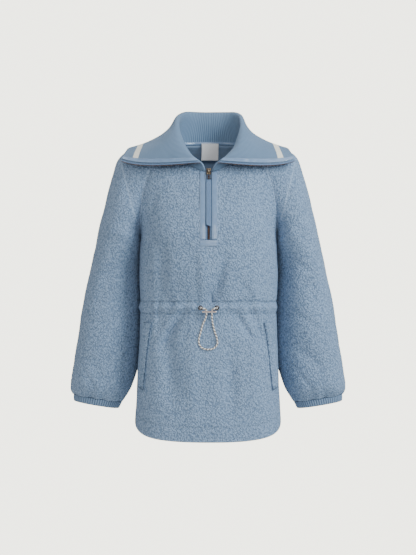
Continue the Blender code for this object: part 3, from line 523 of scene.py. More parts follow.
def half_ring(rows, levels, which, t):
    """Half of a ring: a cubic from the outer line to the inner one, bulged to the front or the back."""
    ahead = -1 if which == "front" else 1
    out, back_in = read(rows, levels, "out_x out_y out_z"), read(rows, levels, "in_x in_y in_z")
    bulge = read(rows, levels, which) * 4 / 3
    side = np.concatenate([0 * bulge, ahead * bulge, 0 * bulge], -1)
    tuck = read(rows, levels, "tuck") * np.array([1, 0, 0]) * (which == "front")
    return cubic(out, out + side, back_in + side + tuck, back_in, t)


def normals(points, ring=False):
    """Unit normals of a grid, from its differences along rows and columns."""
    if ring:
        wide = np.concatenate([points[:, -1:], points, points[:, :1]], axis=1)
        across = (wide[:, 2:] - wide[:, :-2]) / 2
    else:
        across = np.gradient(points, axis=1)
    return unit(np.cross(across, np.gradient(points, axis=0)))


def facing(points, way, at=...):
    """The grid's normals, turned round if those at the places given point against a direction."""
    aim = normals(points)
    return -aim if (aim[at] @ np.array(way)).sum() < 0 else aim


def outward(points, centre):
    """The grid's normals, turned to point away from a point or a line of points inside it."""
    found = normals(points)
    return found if ((points - centre) * found).sum() > 0 else -found


def share_normals(one, two, at):
    """Both grids get the mean of their normals along the seam that they share."""
    one[at] = two[at] = unit(one[at] + two[at])


def lean(points):
    """The garment hangs a little to the right at the chest's sides and at the neck."""
    x, z = points[..., 0], points[..., 2]
    near_side = np.exp(-(((np.abs(x) - 165) / 48) ** 2))
    near_middle = np.exp(-((x / 95) ** 4))
    down = np.clip(-z / 60, 0, 1)
    moved = points.copy()
    moved[..., 0] += near_side * smooth(np.clip(z, -700, 100), LEAN["z"], LEAN["chest"])
    moved[..., 0] += near_middle * (LEAN_NECK * np.clip(1 + z / 60, 0, 1) + LEAN_ZIP * down)
    return moved


def mirrored(points):
    """The same points on the garment's other side: x changes its sign."""
    return points * np.array([-1, 1, 1])


def on_side(side, *grids):
    """The same grids for the right side, where side is 1, or their mirror images, where it is -1."""
    return [grid * np.array([side, 1, 1]) for grid in grids]


def arm_middle(levels):
    """A line down the inside of the arm."""
    high, low = np.minimum(levels, 6), np.maximum(levels, 6)
    upper = read(RAGLAN, high, "top_x top_y top_z") * 0.5 + 0.25 * (
        read(RAGLAN, high, "front_x front_y front_z") + read(RAGLAN, high, "back_x back_y back_z")
    )
    lower = 0.5 * (read(LOWER_ARM, low, "out_x out_y out_z") + read(LOWER_ARM, low, "in_x in_y in_z"))
    return np.where((levels < 6)[:, None], upper - np.array([20, 0, 30]), lower)


def collar_surface(places, down):
    """The collar's seen face, for places round the neck from 0 to 1 and shares from seam to edge.

    Each profile is two cubics: the stand from the neck seam up to the roll, then the fall from the
    roll to the outer edge.
    """
    angle, *ends = (smooth(places, COLLAR["level"], COLLAR[k]) for k in list(COLLAR)[1:])
    roll, edge = np.stack(ends[:3], -1), np.stack(ends[3:], -1)
    aims = [smooth(places, COLLAR_AIM["level"], COLLAR_AIM[k]) for k in list(COLLAR_AIM)[1:]]
    up, out, fall = (unit(np.stack(aims[k : k + 3], -1)) for k in (0, 3, 6))
    root, turn, end = (a[:, None] for a in aims[9:])
    start = neck(angle)
    stand = cubic(start, start + up * root, roll - out * turn, roll, np.clip(down / STAND_SHARE, 0, 1))
    share = np.clip((down - STAND_SHARE) / (1 - STAND_SHARE), 0, 1)
    lying = cubic(roll, roll + out * turn, edge - fall * end, edge, share)
    grid = np.where((down < STAND_SHARE)[None, :, None], stand, lying)
    return grid, neck_normal(angle)


def whole_collar(columns, down):
    """Both halves of the collar, from the left front edge round the back to the right one."""
    places = np.linspace(0, 1, columns) ** 0.9
    half, seam = collar_surface(places, down)
    return (
        np.concatenate([mirrored(half)[:0:-1], half]),
        np.concatenate([mirrored(seam)[:0:-1], seam]),
    )


def across_collar(grid, rows_at, distances):
    """Points of the collar's face at these distances in from its front edge, at fractional rows.

    grid holds the profiles from the front edge inwards. A distance below 0 lies past the edge.
    """
    out = []
    for row in rows_at:
        low = min(int(row), grid.shape[1] - 2)
        line = grid[:, low] + (row - low) * (grid[:, low + 1] - grid[:, low])
        beyond = np.minimum(distances, 0)[:, None] * unit(line[1] - line[0])
        out.append(between(distances, line_length(line), line) + beyond)
    return np.stack(out)


def cloth_y(x, z):
    """How far forward the front's outer face is at this distance from the middle and this height."""
    rows = body_rows(np.linspace(8, 12, 33), "front", np.linspace(0, 1, 121))
    column = at_x(rows, np.array([abs(x)]))[:, 0]
    return float(np.interp(-z, -column[:, 2], column[:, 1]))


def even_levels(start, end, count, line):
    """Levels whose points on a line, a function of level, lie at even steps along it."""
    fine = np.linspace(start, end, 400)
    length = line_length(line(fine))
    return np.interp(np.linspace(0, length[-1], count + 1), length, fine)


def at_level(row_levels, points, level):
    """The row of a grid at one level, between the two rows beside it."""
    row = np.interp(level, row_levels, np.arange(len(row_levels)))
    low = min(int(row), len(points) - 2)
    return points[low] + (row - low) * (points[low + 1] - points[low])


def circle(count):
    """Even angles once round."""
    return np.arange(count) * 2 * np.pi / count


def closed(index):
    """A grid of point numbers whose first column comes again after its last one."""
    return np.concatenate([index, index[:, :1]], axis=1)


def grid_quads(index):
    """The four corners of each cell in a grid of point numbers."""
    return np.stack([index[:-1, :-1], index[1:, :-1], index[1:, 1:], index[:-1, 1:]], -1)


def tube_faces(rings, around):
    """The faces of a tube whose points come ring by ring, and then the middle of each end."""
    index = closed(np.arange(rings * around).reshape(rings, around))
    tips = rings * around + 0 * index[0, 1:]
    first = np.stack([tips, index[0, :-1], index[0, 1:]], -1)
    last = np.stack([tips + 1, index[-1, 1:], index[-1, :-1]], -1)
    return [grid_quads(index).reshape(-1, 4), np.concatenate([first, last])]


# The tone that marks a cloth's inside.
INSIDE_TONE = -2.0


def piece(name, points, faces, finish, slot, node=None, body="garment", uv=None, tone=None, placed=False):
    """A mesh from points in millimetres, leaned as the garment is, with its faces turned outwards.

    faces holds arrays of triangles and of quads. node names the solid that the mesh replaces. uv
    and tone hold one value a point: a place on the cloth in metres, and how raised it is.
    """
    points = (points if placed else lean(points)) * MM
    volume = 0.0
    for face in faces:
        a = points[face[:, 0]]
        for k in range(1, face.shape[1] - 1):
            volume += (a * np.cross(points[face[:, k]], points[face[:, k + 1]])).sum()
    if volume < 0:
        faces = [face[:, ::-1] for face in faces]
    loops = np.concatenate([face.ravel() for face in faces]).astype(np.int32)
    sizes = np.concatenate([np.full(len(face), face.shape[1]) for face in faces])
    mesh = bpy.data.meshes.new(name)
    mesh.vertices.add(len(points))
    mesh.vertices.foreach_set("co", points.astype(np.float32).ravel())
    mesh.loops.add(len(loops))
    mesh.loops.foreach_set("vertex_index", loops)
    mesh.polygons.add(len(sizes))
    mesh.polygons.foreach_set("loop_start", np.r_[0, np.cumsum(sizes)[:-1]].astype(np.int32))
    mesh.update(calc_edges=True)
    if uv is not None:
        layer = mesh.uv_layers.new(name="cloth")
        layer.data.foreach_set("uv", uv[loops].astype(np.float32).ravel())
    if tone is not None:
        mesh.attributes.new("tone", "FLOAT", "POINT").data.foreach_set("value", tone.astype(np.float32))
    mesh.shade_smooth()
    mesh.materials.append(finish)
    obj = bpy.data.objects.new(name, mesh)
    bpy.context.scene.collection.objects.link(obj)
    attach(obj, body)
    if node:
        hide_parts(node)
    return obj


def shell_faces(rows, columns, step=1, keep=None, ring=False):
    """The faces of a closed shell: fine quads outside, quads step times as large inside, and a rim.

    The outer grid's points come first, then the inner one's. keep says which inner quads exist, and
    on a ring the last column joins the first. Along an open edge each inner side is fanned out to
    the step outer sides that lie over it.
    """
    fine = np.arange(rows * columns).reshape(rows, columns)
    fine = closed(fine) if ring else fine
    down, across = (fine.shape[0] - 1) // step, (fine.shape[1] - 1) // step
    inner_columns = across if ring else across + 1
    coarse = rows * columns + np.arange((down + 1) * inner_columns).reshape(down + 1, inner_columns)
    coarse = closed(coarse) if ring else coarse
    keep = np.ones((down, across), bool) if keep is None else keep
    outer = grid_quads(fine)[np.repeat(np.repeat(keep, step, 0), step, 1)]
    inner = grid_quads(coarse)[keep][:, ::-1]
    padded = np.pad(keep, 1)
    if ring:
        padded[1:-1, 0], padded[1:-1, -1] = keep[:, -1], keep[:, 0]
    along = np.arange(step + 1)
    sides = []
    above, below = padded[:-1, 1:-1], padded[1:, 1:-1]
    for found, forward in ((below & ~above, False), (above & ~below, True)):
        i, j = np.nonzero(found)
        edge = fine[(i * step)[:, None], (j * step)[:, None] + along]
        ends = coarse[i, j], coarse[i, j + 1]
        sides.append((edge, *ends) if forward else (edge[:, ::-1], *ends[::-1]))
    before, after = padded[1:-1, :-1], padded[1:-1, 1:]
    for found, forward in ((after & ~before, True), (before & ~after, False)):
        i, j = np.nonzero(found)
        edge = fine[(i * step)[:, None] + along, (j * step)[:, None]]
        ends = coarse[i, j], coarse[i + 1, j]
        sides.append((edge, *ends) if forward else (edge[:, ::-1], *ends[::-1]))
    edge, begin, end = (np.concatenate([side[k] for side in sides]) for k in range(3))
    middle = (step + 1) // 2
    rim = [np.stack([edge[:, middle], begin, end], -1)]
    for k in range(step):
        rim.append(np.stack([edge[:, k + 1], edge[:, k], begin if k < middle else end], -1))
    return [outer, inner, np.concatenate(rim)]


def shell(name, outer, inner, finish, slot, step=1, keep=None, ring=False, inner_tone=INSIDE_TONE, **more):
    """A closed shell between two grids. The inner one is read at every step-th point.

    inner_tone marks its inside, which fleece shows as a smooth knitted back.
    """
    inside = inner[::step, ::step]
    points = np.concatenate([outer.reshape(-1, 3), inside.reshape(-1, 3)])
    if "uv" in more:
        uv = more["uv"]
        more["uv"] = np.concatenate([uv.reshape(-1, 2), uv[::step, ::step].reshape(-1, 2)])
    if "tone" in more:
        more["tone"] = np.r_[more["tone"].ravel(), np.full(inside[..., 0].size, inner_tone)]
    faces = shell_faces(*outer.shape[:2], step, keep, ring)
    return piece(name, points, faces, finish, slot, **more)


def repeated(unit_points, unit_faces, centres, frames):
    """Copies of one small shape: its x, y and z run along the three rows of each frame."""
    points = centres[:, None] + np.einsum("pk,nkd->npd", unit_points, frames)
    shift = len(unit_points) * np.arange(len(centres))
    faces = [(face[None] + shift[:, None, None]).reshape(-1, face.shape[1]) for face in unit_faces]
    return points.reshape(-1, 3), faces


def lathe_unit(profile, around):
    """A small closed solid: rings of points about x at (place along x, radius), and a tip at each end."""
    turn = circle(around)
    rings = [np.stack([0 * turn + x, r * np.cos(turn), r * np.sin(turn)], -1) for x, r in profile[1:-1]]
    tips = [[profile[0][0], 0, 0], [profile[-1][0], 0, 0]]
    return np.concatenate([*rings, tips]), tube_faces(len(rings), around)


STITCH = lathe_unit([(-1.45, 0), (-1.0, 0.34), (1.0, 0.34), (1.45, 0)], 5)


def along_line(line, aims, pitch, inset=0.5):
    """Places at an even pitch along a line: centres, and frames of its direction, side and normal."""
    length = line_length(line)
    count = max(int(length[-1] / pitch), 1)
    at = (np.arange(count) + inset) * length[-1] / count
    run = unit(between(at + 0.4, length, line) - between(at - 0.4, length, line))
    side = unit(np.cross(unit(between(at, length, aims)), run))
    return between(at, length, line), np.stack([run, side, np.cross(run, side)], 1)


def sew(name, lines, finish, slot, pitch=3.7, lift=0.15):
    """A row of stitches on each line of points, as one mesh."""
    centres, frames = [], []
    for line, aims in lines:
        centre, turned = along_line(line + unit(aims) * lift, aims, pitch)
        centres.append(centre)
        frames.append(turned)
    points, faces = repeated(*STITCH, np.concatenate(centres), np.concatenate(frames))
    return piece(name, points, faces, finish, slot)


def chance(cells, seed):
    """Three even numbers from 0 to 1 for each whole-number cell, mixed from its coordinates."""
    n = cells.astype(np.int64)
    h = (n[..., 0] * 73856093) ^ (n[..., 1] * 19349663) ^ (n[..., 2] * 83492791) ^ (seed * 2654435761)
    out = []
    for k in range(3):
        h = (h ^ (h >> 15)) * 2246822519 & 0xFFFFFFFF
        h = (h ^ (h >> 13)) * 3266489917 & 0xFFFFFFFF
        out.append(((h ^ (h >> 16)) & 0xFFFF) / 65535)
    return np.stack(out, -1)


def pebbles(points, size, seed=1):
    """How raised the pile is at each point, from 0 in a crease to 1 on a pebble.

    Each cell of a bent lattice holds one seed. The height is the gap between the distances to the
    two nearest seeds, so it falls to nothing half-way between them.
    """
    flat = points.reshape(-1, 3)
    bent = flat + 0.33 * size * np.sin(flat[:, (1, 2, 0)] / (1.1 * size)) + 0.3 * size * np.sin(
        flat[:, (2, 0, 1)] / (2.3 * size) + 1.7
    )
    stretch = np.array([1.0, 1.0, 0.72])
    place = bent * stretch / size
    cell = np.floor(place)
    nearest = np.full(len(place), 9.0)
    second = np.full(len(place), 9.0)
    for step in np.ndindex(3, 3, 3):
        near = cell + np.array(step) - 1
        far = np.linalg.norm(near + 0.15 + 0.7 * chance(near, seed) - place, axis=1)
        second = np.minimum(second, np.maximum(nearest, far))
        nearest = np.minimum(nearest, far)
    height = np.clip((second - nearest) / 0.5, 0, 1)
    return (height * (2 - height)).reshape(points.shape[:-1])


def waves(points, size, seed):
    """A slow uneven swell from -1 to 1: three crossing sines, each bent by another."""
    x, y, z = np.moveaxis(points, -1, 0) / size
    bend = 1.3 * np.sin(0.7 * x + 0.9 * z + seed)
    steep = np.sin(1.9 * x + bend + 2 * seed)
    level = np.sin(1.3 * z + 1.1 * y - bend + seed)
    return (steep + level + np.sin(1.1 * x - 1.7 * z + 3 * seed)) / 3


def bump_out(distance, width):
    """1 on a line and falling away from it as a Gaussian."""
    return np.exp(-((distance / width) ** 2))


# How wide and how high the pile's pebbles and finer lumps are, and how deep and wide a stitched groove.
PEBBLE, LUMP = 5.4, 3.9
PILE = 0.7
GROOVE, GROOVE_WIDTH = 1.8, 1.5
# Finer creases than the solids carry, as lines seen from the front, then width and depth.
FRONT_CREASES = table(
    """
    x1 z1 x2 z2 width depth
    -60 -384 -106 -468 11 15.0
    -92 -440 -84 -590 19 12.0
    -106 -236 -108 -345 14 11.0
    38 -262 6 -366 14 13.0
    -14 -240 -14 -350 12 -4.5
    58 -384 104 -450 10 9.0
    50 -470 52 -630 18 9.0
    -145 -350 -147 -396 4 2.6
    -131 -352 -131 -402 4 2.4
    -115 -350 -118 -410 4 2.4
    104 -300 108 -590 12 -4.5
    -38 -440 -38 -630 15 -4.5
    -30 -390 -36 -424 5 1.6
    26 -390 34 -428 5 1.6
    87 -356 108 -428 6 4.2
    98 -356 132 -464 6 4.0
    60 -388 70 -436 6 2.4
    2 -330 8 -370 4.5 4.0
    -22 -344 -30 -364 5 1.6
    24 -340 32 -364 5 1.8
    -88 -330 -110 -364 6 2.0
    84 -326 112 -364 6 2.2
    140 -196 118 -250 8 2.4
    -142 -190 -116 -252 8 2.6
    120 -100 142 -190 8 2.0
    -120 -100 -142 -190 8 2.0
    192 -170 236 -220 9 2.4
    -190 -170 -236 -226 9 2.6
    196 -262 262 -300 9 2.4
    -196 -268 -260 -310 9 2.6
    196 -380 276 -440 9 2.2
    -194 -376 -272 -436 9 2.4
    206 -520 250 -572 7 2.4
    -206 -516 -254 -572 7 2.4
    294 -530 262 -578 7 2.2
    -296 -524 -264 -576 7 2.2
    """
)
BACK_CREASES = table(
    """
    x1 z1 x2 z2 width depth
    -64 -386 -106 -466 11 10.0
    -92 -440 -84 -590 19 9.0
    -44 -390 -52 -446 6 2.6
    46 -420 58 -620 17 8.0
    30 -262 4 -368 13 7.0
    -100 -236 -104 -345 13 7.0
    104 -300 108 -590 13 -4.0
    -36 -440 -36 -630 15 -4.0
    34 -390 44 -432 6 2.0
    96 -370 130 -462 7 4.2
    -86 -326 -108 -364 6 2.0
    80 -328 106 -364 6 2.0
    -10 -334 -4 -364 5 1.8
    136 -190 112 -254 8 2.4
    -138 -186 -112 -250 8 2.4
    192 -176 236 -226 9 2.4
    -192 -170 -234 -220 9 2.4
    196 -270 260 -308 9 2.4
    -196 -262 -262 -302 9 2.4
    198 -386 274 -440 9 2.2
    -196 -380 -270 -436 9 2.2
    208 -518 252 -570 7 2.2
    -206 -522 -250 -572 7 2.2
    """
)
WAIST_LEVELS = (8, 10)
HEM_STITCH_LEVEL = 12.75


def raise_pile(points, aims, distances, stitched, gather, edge_width=2.6):
    """The fleece's outer points and their tone.

    distances lead to the nearest seam, where the pile is short and the tone is raised, so that the seam is
    painted pale as a highlight along its raised line. stitched lines press a groove into it, and the tone of
    the first two is lowered there as a painted shadow. gather adds the ripples of a drawn-in edge. The tone
    also follows the pebbles' height, so their creases get painted shade.
    """
    short = bump_out(distances, edge_width)
    grooves = [bump_out(d, GROOVE_WIDTH) for d in stitched]
    groove = sum(grooves)
    pressed = np.clip(short + groove, 0, 1)
    height = pebbles(points, PEBBLE)
    fine = pebbles(points, LUMP, 7)
    pile = (0.82 * height + 0.18 * fine) * (1 - 0.85 * pressed)
    swell = 0.9 * waves(points, 38, 0.4) + 0.5 * waves(points, 17, 2.1)
    lift = PILE * (pile - 0.35) - GROOVE * np.clip(groove, 0, 1) + 0.35 * short + swell + gather
    # Painted light in the tone: it is low in the pebbles' creases as painted shade, raised at the seams as a
    # painted highlight, and lowered in the first two stitched grooves as a painted shadow.
    tone = np.clip(pile + 1.5 * short - 0.95 * np.clip(sum(grooves[:2]), 0, 1), -1, 2)
    return points + aims * lift[..., None], tone


def row_gap(levels, middle, level):
    """How far each row lies from the row of one level, read down the panel's middle line."""
    return np.abs(middle - np.interp(level, levels, middle))[:, None]


def fleece_panel(name, points, aim, levels, middle, calm, stitched, gather, thick=FLEECE, keep=None):
    """One fleece panel, creased and raised, but flat at its first row, where it meets the collar."""
    creases, ahead = (FRONT_CREASES, -1) if "front" in name else (BACK_CREASES, 1)
    creased = folds(points, creases, ahead)
    outer, tone = raise_pile(creased, aim, calm, stitched, gather)
    flat = bump_out(row_gap(levels, middle, 0), 5)[..., None]
    outer = outer * (1 - flat) + (points - aim * 0.5) * flat
    inner = creased - aim * thick
    shell(f"{name}_fleece", outer, inner, FLEECE_FINISH, "fleece", COLUMN_STEP, keep, tone=tone, node=name)
    return outer


# Rows and columns of the grids. The inner walls have one for each COLUMN_STEP of the outer ones.
RAGLAN_STEPS, BODY_STEPS, ARM_STEPS = 90, 180, 165
COLUMN_STEP = 3
FRONT_COLUMNS, BACK_COLUMNS, ARM_COLUMNS = 103, 100, 79
FINE = np.linspace(0, 1, 241)
SEAM_ANGLES = {
    "front": (180, FRONT_SEAM_ANGLE),
    "back": (0, BACK_SEAM_ANGLE),
    "arm_front": (90, FRONT_SEAM_ANGLE),
    "arm_back": (90, BACK_SEAM_ANGLE),
}
# How far in from their seams the raglan topstitching and the one over the arm run.
BODY_STITCH_IN, ARM_STITCH_IN = 5.5, 7.0
# The row at which the arm's stitching is measured off, and a distance out of any groove's reach.
ARM_STITCH_ROW = 60
FAR_OFF = 99.0
# The level down to which the zip and its satin cover the front's middle.
ZIP_PART_ENDS = 6.12


def panel_levels():
    """Level lists for the body and the arms. Both share the raglan rows, so their seams match."""
    raglan = even_levels(0, 6, RAGLAN_STEPS, lambda at: read(RAGLAN, at, "front_x front_y front_z"))
    side = even_levels(6, 13, BODY_STEPS, lambda at: read(SIDE_SEAM, at, "x y z"))
    arm = even_levels(6, 13, ARM_STEPS, lambda at: read(LOWER_ARM, at, "out_x out_y out_z"))
    return np.r_[raglan, side[1:]], np.r_[raglan, arm[1:]]


def panel_grids(body_levels, arm_levels):
    """The right half of each panel with the normals that seams share, as the solids have them."""
    front = body_rows(body_levels, "front", FINE)
    middle = at_x(front, np.linspace(0, NOTCH_HALF, COLUMN_STEP + 1))
    arm = np.linspace(0, 1, ARM_COLUMNS)
    grids = {
        "front": np.concatenate([middle[:, :-1], spaced(front, NOTCH_HALF, FRONT_COLUMNS)], axis=1),
        "back": spaced(body_rows(body_levels, "back", FINE), 0, BACK_COLUMNS),
        "arm_front": arm_rows(arm_levels, "front", arm),
        "arm_back": arm_rows(arm_levels, "back", arm),
    }
    arm_inside = arm_middle(arm_levels)[:, None]
    aims = {}
    for name, points in grids.items():
        body_inside = points * np.array([0, 0, 1]) - np.array([0, 0, 40])
        aims[name] = outward(points, arm_inside if "arm" in name else body_inside)
    aims["front"][:, 0, 0] = 0
    aims["back"][:, 0, 0] = 0
    raglan, below = (slice(0, RAGLAN_STEPS + 1), -1), (slice(RAGLAN_STEPS, None), -1)
    share_normals(aims["front"], aims["arm_front"], raglan)
    share_normals(aims["back"], aims["arm_back"], raglan)
    share_normals(aims["front"], aims["back"], below)
    share_normals(aims["arm_front"], aims["arm_back"], below)
    share_normals(aims["arm_front"], aims["arm_back"], (slice(None), 0))
    for name, aim in aims.items():
        aim[RAGLAN_STEPS, -1] = (0, 0, -1)
        aim[0] = neck_normal(np.linspace(*SEAM_ANGLES[name], aim.shape[1]))
    return grids, aims


def to_column(points, column):
    """How far each point lies from one column of its grid, along its row."""
    length = row_lengths(points)
    return np.abs(length - length[:, column][:, None])


def whole(half):
    """Both halves of a body panel, from its left seam to its right one."""
    return np.concatenate([mirrored(half)[:, :0:-1], half], axis=1)


def body_panels(levels, grids, aims):
    """The front and back as closed shells, with the lines that their stitching follows."""
    thread = []
    stitch_levels = (*WAIST_LEVELS, HEM_STITCH_LEVEL)
    for name in ("front", "back"):
        half = grids[name]
        points, aim = whole(half), whole(aims[name])
        middle = half[:, 0, 2]
        seam = np.minimum(to_column(points, 0), to_column(points, -1))
        x = points[..., 0]
        from_waist = (middle - np.interp(9, levels, middle))[:, None]
        ripple = np.sin(x / 4.1 + 1.4 * np.sin(x / 23)) * (1 - bump_out(x, 26) * (name == "front"))
        gather = 1.3 * bump_out(from_waist, 24) * ripple + 1.1 * bump_out(from_waist, 8)
        calm = np.minimum(seam, row_gap(levels, middle, 13))
        keep = None
        if name == "front":
            in_slit = (levels < ZIP_PART_ENDS)[:, None] & (np.abs(x) < SATIN_OUT + 1)
            calm = np.where(in_slit, 0, calm)
            keep = np.ones(((len(levels) - 1) // COLUMN_STEP, (points.shape[1] - 1) // COLUMN_STEP), bool)
            centre = keep.shape[1] // 2
            keep[: RAGLAN_STEPS // COLUMN_STEP, centre - 1 : centre + 1] = False
        stitched = [row_gap(levels, middle, level) for level in stitch_levels]
        stitched.append(np.where((levels < 6)[:, None], np.abs(seam - BODY_STITCH_IN), FAR_OFF))
        thick = np.where(levels > HEM_STITCH_LEVEL, HEM_FOLD, FLEECE)[:, None, None]
        outer = fleece_panel(name, points, aim, levels, middle, calm, stitched, gather, thick, keep)
        for level in stitch_levels:
            thread.append((at_level(levels, outer, level)[2:-2], at_level(levels, aim, level)[2:-2]))
        upto = RAGLAN_STEPS - 2
        for column in (-1, 0):
            column = np.argmin(np.abs(to_column(points, column)[upto // 2] - BODY_STITCH_IN))
            thread.append((outer[8:upto, column], aim[8:upto, column]))
    sew("body_topstitching", thread, THREAD_FINISH, "fleece")


# Seen from the front, the seam across each sleeve's front ends at these two points.
WEDGE_SEAM = ((206, -34), (172, -166))


def from_wedge_seam(points):
    """How far each point lies, seen from the front, from the seam across a sleeve's front."""
    (x1, z1), (x2, z2) = WEDGE_SEAM
    along = np.array([x2 - x1, z2 - z1])
    offset = np.stack([np.abs(points[..., 0]) - x1, points[..., 2] - z1], -1)
    share = np.clip((offset @ along) / (along @ along), 0, 1)
    return np.linalg.norm(offset - share[..., None] * along, axis=-1)


def sleeves(levels, grids, aims):
    """Four sleeve halves, stitched along the seam over the arm and gathered into the cuff."""
    thread = []
    for half in ("front", "back"):
        base = grids[f"arm_{half}"]
        middle = base[:, 0, 2]
        t = np.linspace(0, 1, base.shape[1])
        from_wrist = row_gap(levels, middle, 13)
        gather = 1.5 * bump_out(from_wrist, 26) * np.sin(np.pi * 9 * t + 1.2 * np.sin(np.pi * 4 * t))
        for side, which in SIDES:
            points, aim = on_side(side, base, aims[f"arm_{half}"])
            over, under = to_column(points, 0), to_column(points, -1)
            calm = np.minimum(np.minimum(over, under), from_wrist + 0.5)
            if half == "front":
                calm = np.minimum(calm, from_wedge_seam(points))
            stitched = [np.abs(over - ARM_STITCH_IN)]
            name = f"sleeve_{which}_{half}"
            outer = fleece_panel(name, points, aim, levels, middle, calm, stitched, gather)
            column = np.argmin(np.abs(row_lengths(outer)[ARM_STITCH_ROW] - ARM_STITCH_IN))
            thread.append((outer[14:-2, column], aim[14:-2, column]))
    sew("sleeve_topstitching", thread, THREAD_FINISH, "fleece")


def rib_cuffs():
    """Knitted cuffs: the ring's outer points step in and out as a rounded wave, one to a rib."""
    per_rib = 8
    t = np.linspace(0, 1, CUFF_RIBS * per_rib // 2 + 1)
    levels = np.linspace(0, 2, 25)
    front, back = half_ring(CUFF, levels, "front", t), half_ring(CUFF, levels, "back", t)
    ring = np.concatenate([front, back[:, -2:0:-1]], axis=1)
    aim = normals(ring, ring=True)
    aim = aim if ((ring - ring.mean(axis=1, keepdims=True)) * aim).sum() > 0 else -aim
    wave = 0.5 + 0.5 * np.cos(np.arange(ring.shape[1]) * 2 * np.pi / per_rib)
    edge = bump_out(np.minimum(levels, 2 - levels), 0.12)[:, None]
    raised = np.sqrt(wave)[None] * (1 - 0.5 * edge)
    outer = ring + aim * (RIB_DEPTH * (raised - 1) - 0.7 * edge)[..., None]
    # The tone is the rib's height, which the cuff's finish paints as shade between the ribs and highlight on
    # them.
    more = {"ring": True, "tone": np.clip(raised, 0, 1), "inner_tone": 0.45}
    for side, which in SIDES:
        grids = on_side(side, outer, ring - aim * KNIT)
        shell(f"cuff_{which}_knit", *grids, CUFF_FINISH, "rib_knit", 4, node=f"cuff_{which}", **more)


COLLAR_ACROSS, COLLAR_DOWN = 199, 109


def knit_collar():
    """The collar as a closed shell. Its cloth map runs in from the front ends and the outer edge."""
    down = np.linspace(0, 1, COLLAR_DOWN)
    hidden, seam = whole_collar(COLLAR_ACROSS, down)
    aim = facing(hidden, (0, -1, 0), (COLLAR_ACROSS - 1, 1))
    seen = hidden + aim * KNIT
    seen[:, 0] = hidden[:, 0] - seam * KNIT * 0.8
    from_edge = row_lengths(seen[:, ::-1])[:, ::-1]
    round_neck = line_length(seen[:, int(STAND_SHARE * COLLAR_DOWN)])
    round_neck = np.minimum(round_neck, round_neck[-1] - round_neck)[:, None] + 0 * from_edge
    uv = np.stack([round_neck, from_edge], -1) * MM
    front_edge = np.minimum(np.arange(len(seen)), np.arange(len(seen))[::-1])[:, None]
    soft = (1 - bump_out(front_edge, 9) * 0.8) * (1 - bump_out(from_edge, 6))
    swell = soft * (0.8 * waves(seen, 30, 1.2) + 0.35 * waves(seen, 13, 4.2))
    swell = swell * np.clip(np.arange(COLLAR_DOWN) / 12, 0, 1)[None]
    welt = 0.5 * bump_out(from_edge - 3.4, 1.6)
    shown = seen + aim * (swell + welt)[..., None]
    shell("collar_knit", shown, hidden, COLLAR_FINISH, "rib_knit", COLUMN_STEP, uv=uv, node="collar")
    return seen


def strip_of(base, thick, lift, aim):
    """The two faces of a strip that lies on a surface."""
    return base + aim * (lift + thick), base + aim * lift


def rounded(outer, inner):
    """The same two grids with their long edges drawn together, so that the strip's edge is round."""
    middle = (outer + inner) / 2
    pull = np.zeros((1, outer.shape[1], 1))
    pull[:, [0, -1]] = 0.75
    return outer + (middle - outer) * pull, inner + (middle - inner) * pull


def both_sides(name, base, lift, thick, finish, slot, ripple=0.0):
    """A strip of the right half and its mirror image, each replacing the solid of its name."""
    aim = facing(base, (0, -1, 1))
    outer, inner = rounded(*strip_of(base, thick, lift, aim))
    outer = outer + aim * (ripple + 0 * aim[..., 0])[..., None]
    for side, which in SIDES:
        node = f"{name}_{which}"
        shell(f"{node}_strip", *on_side(side, outer, inner), finish, slot, uv=cloth_map(base), node=node)
    return outer, aim


def cloth_map(base):
    """Places on a strip in metres: along it, then across it."""
    along = line_length(base[:, base.shape[1] // 2])[:, None] + 0 * base[..., 0]
    return np.stack([along, row_lengths(base)], -1) * MM


def both_threads(top, aim, first):
    """The stitch lines near a strip's two long edges, on the right side and on the left one."""
    right = [(top[first:-1, column], aim[first:-1, column]) for column in (1, -2)]
    return right + [(mirrored(line), mirrored(turn)) for line, turn in right]


TOOTH = lathe_unit([(-1.0, 0), (-0.85, 0.62), (-0.3, 0.8), (0.3, 0.8), (0.85, 0.62), (1.0, 0)], 6)
TOOTH_PITCH = 2.15
# How much larger than the unit tooth an open or a closed one is, out of the row, along it and up.
OPEN_TOOTH = (1.35, 0.95, 1.35)
CLOSED_TOOTH = (1.45, 0.85, 1.3)


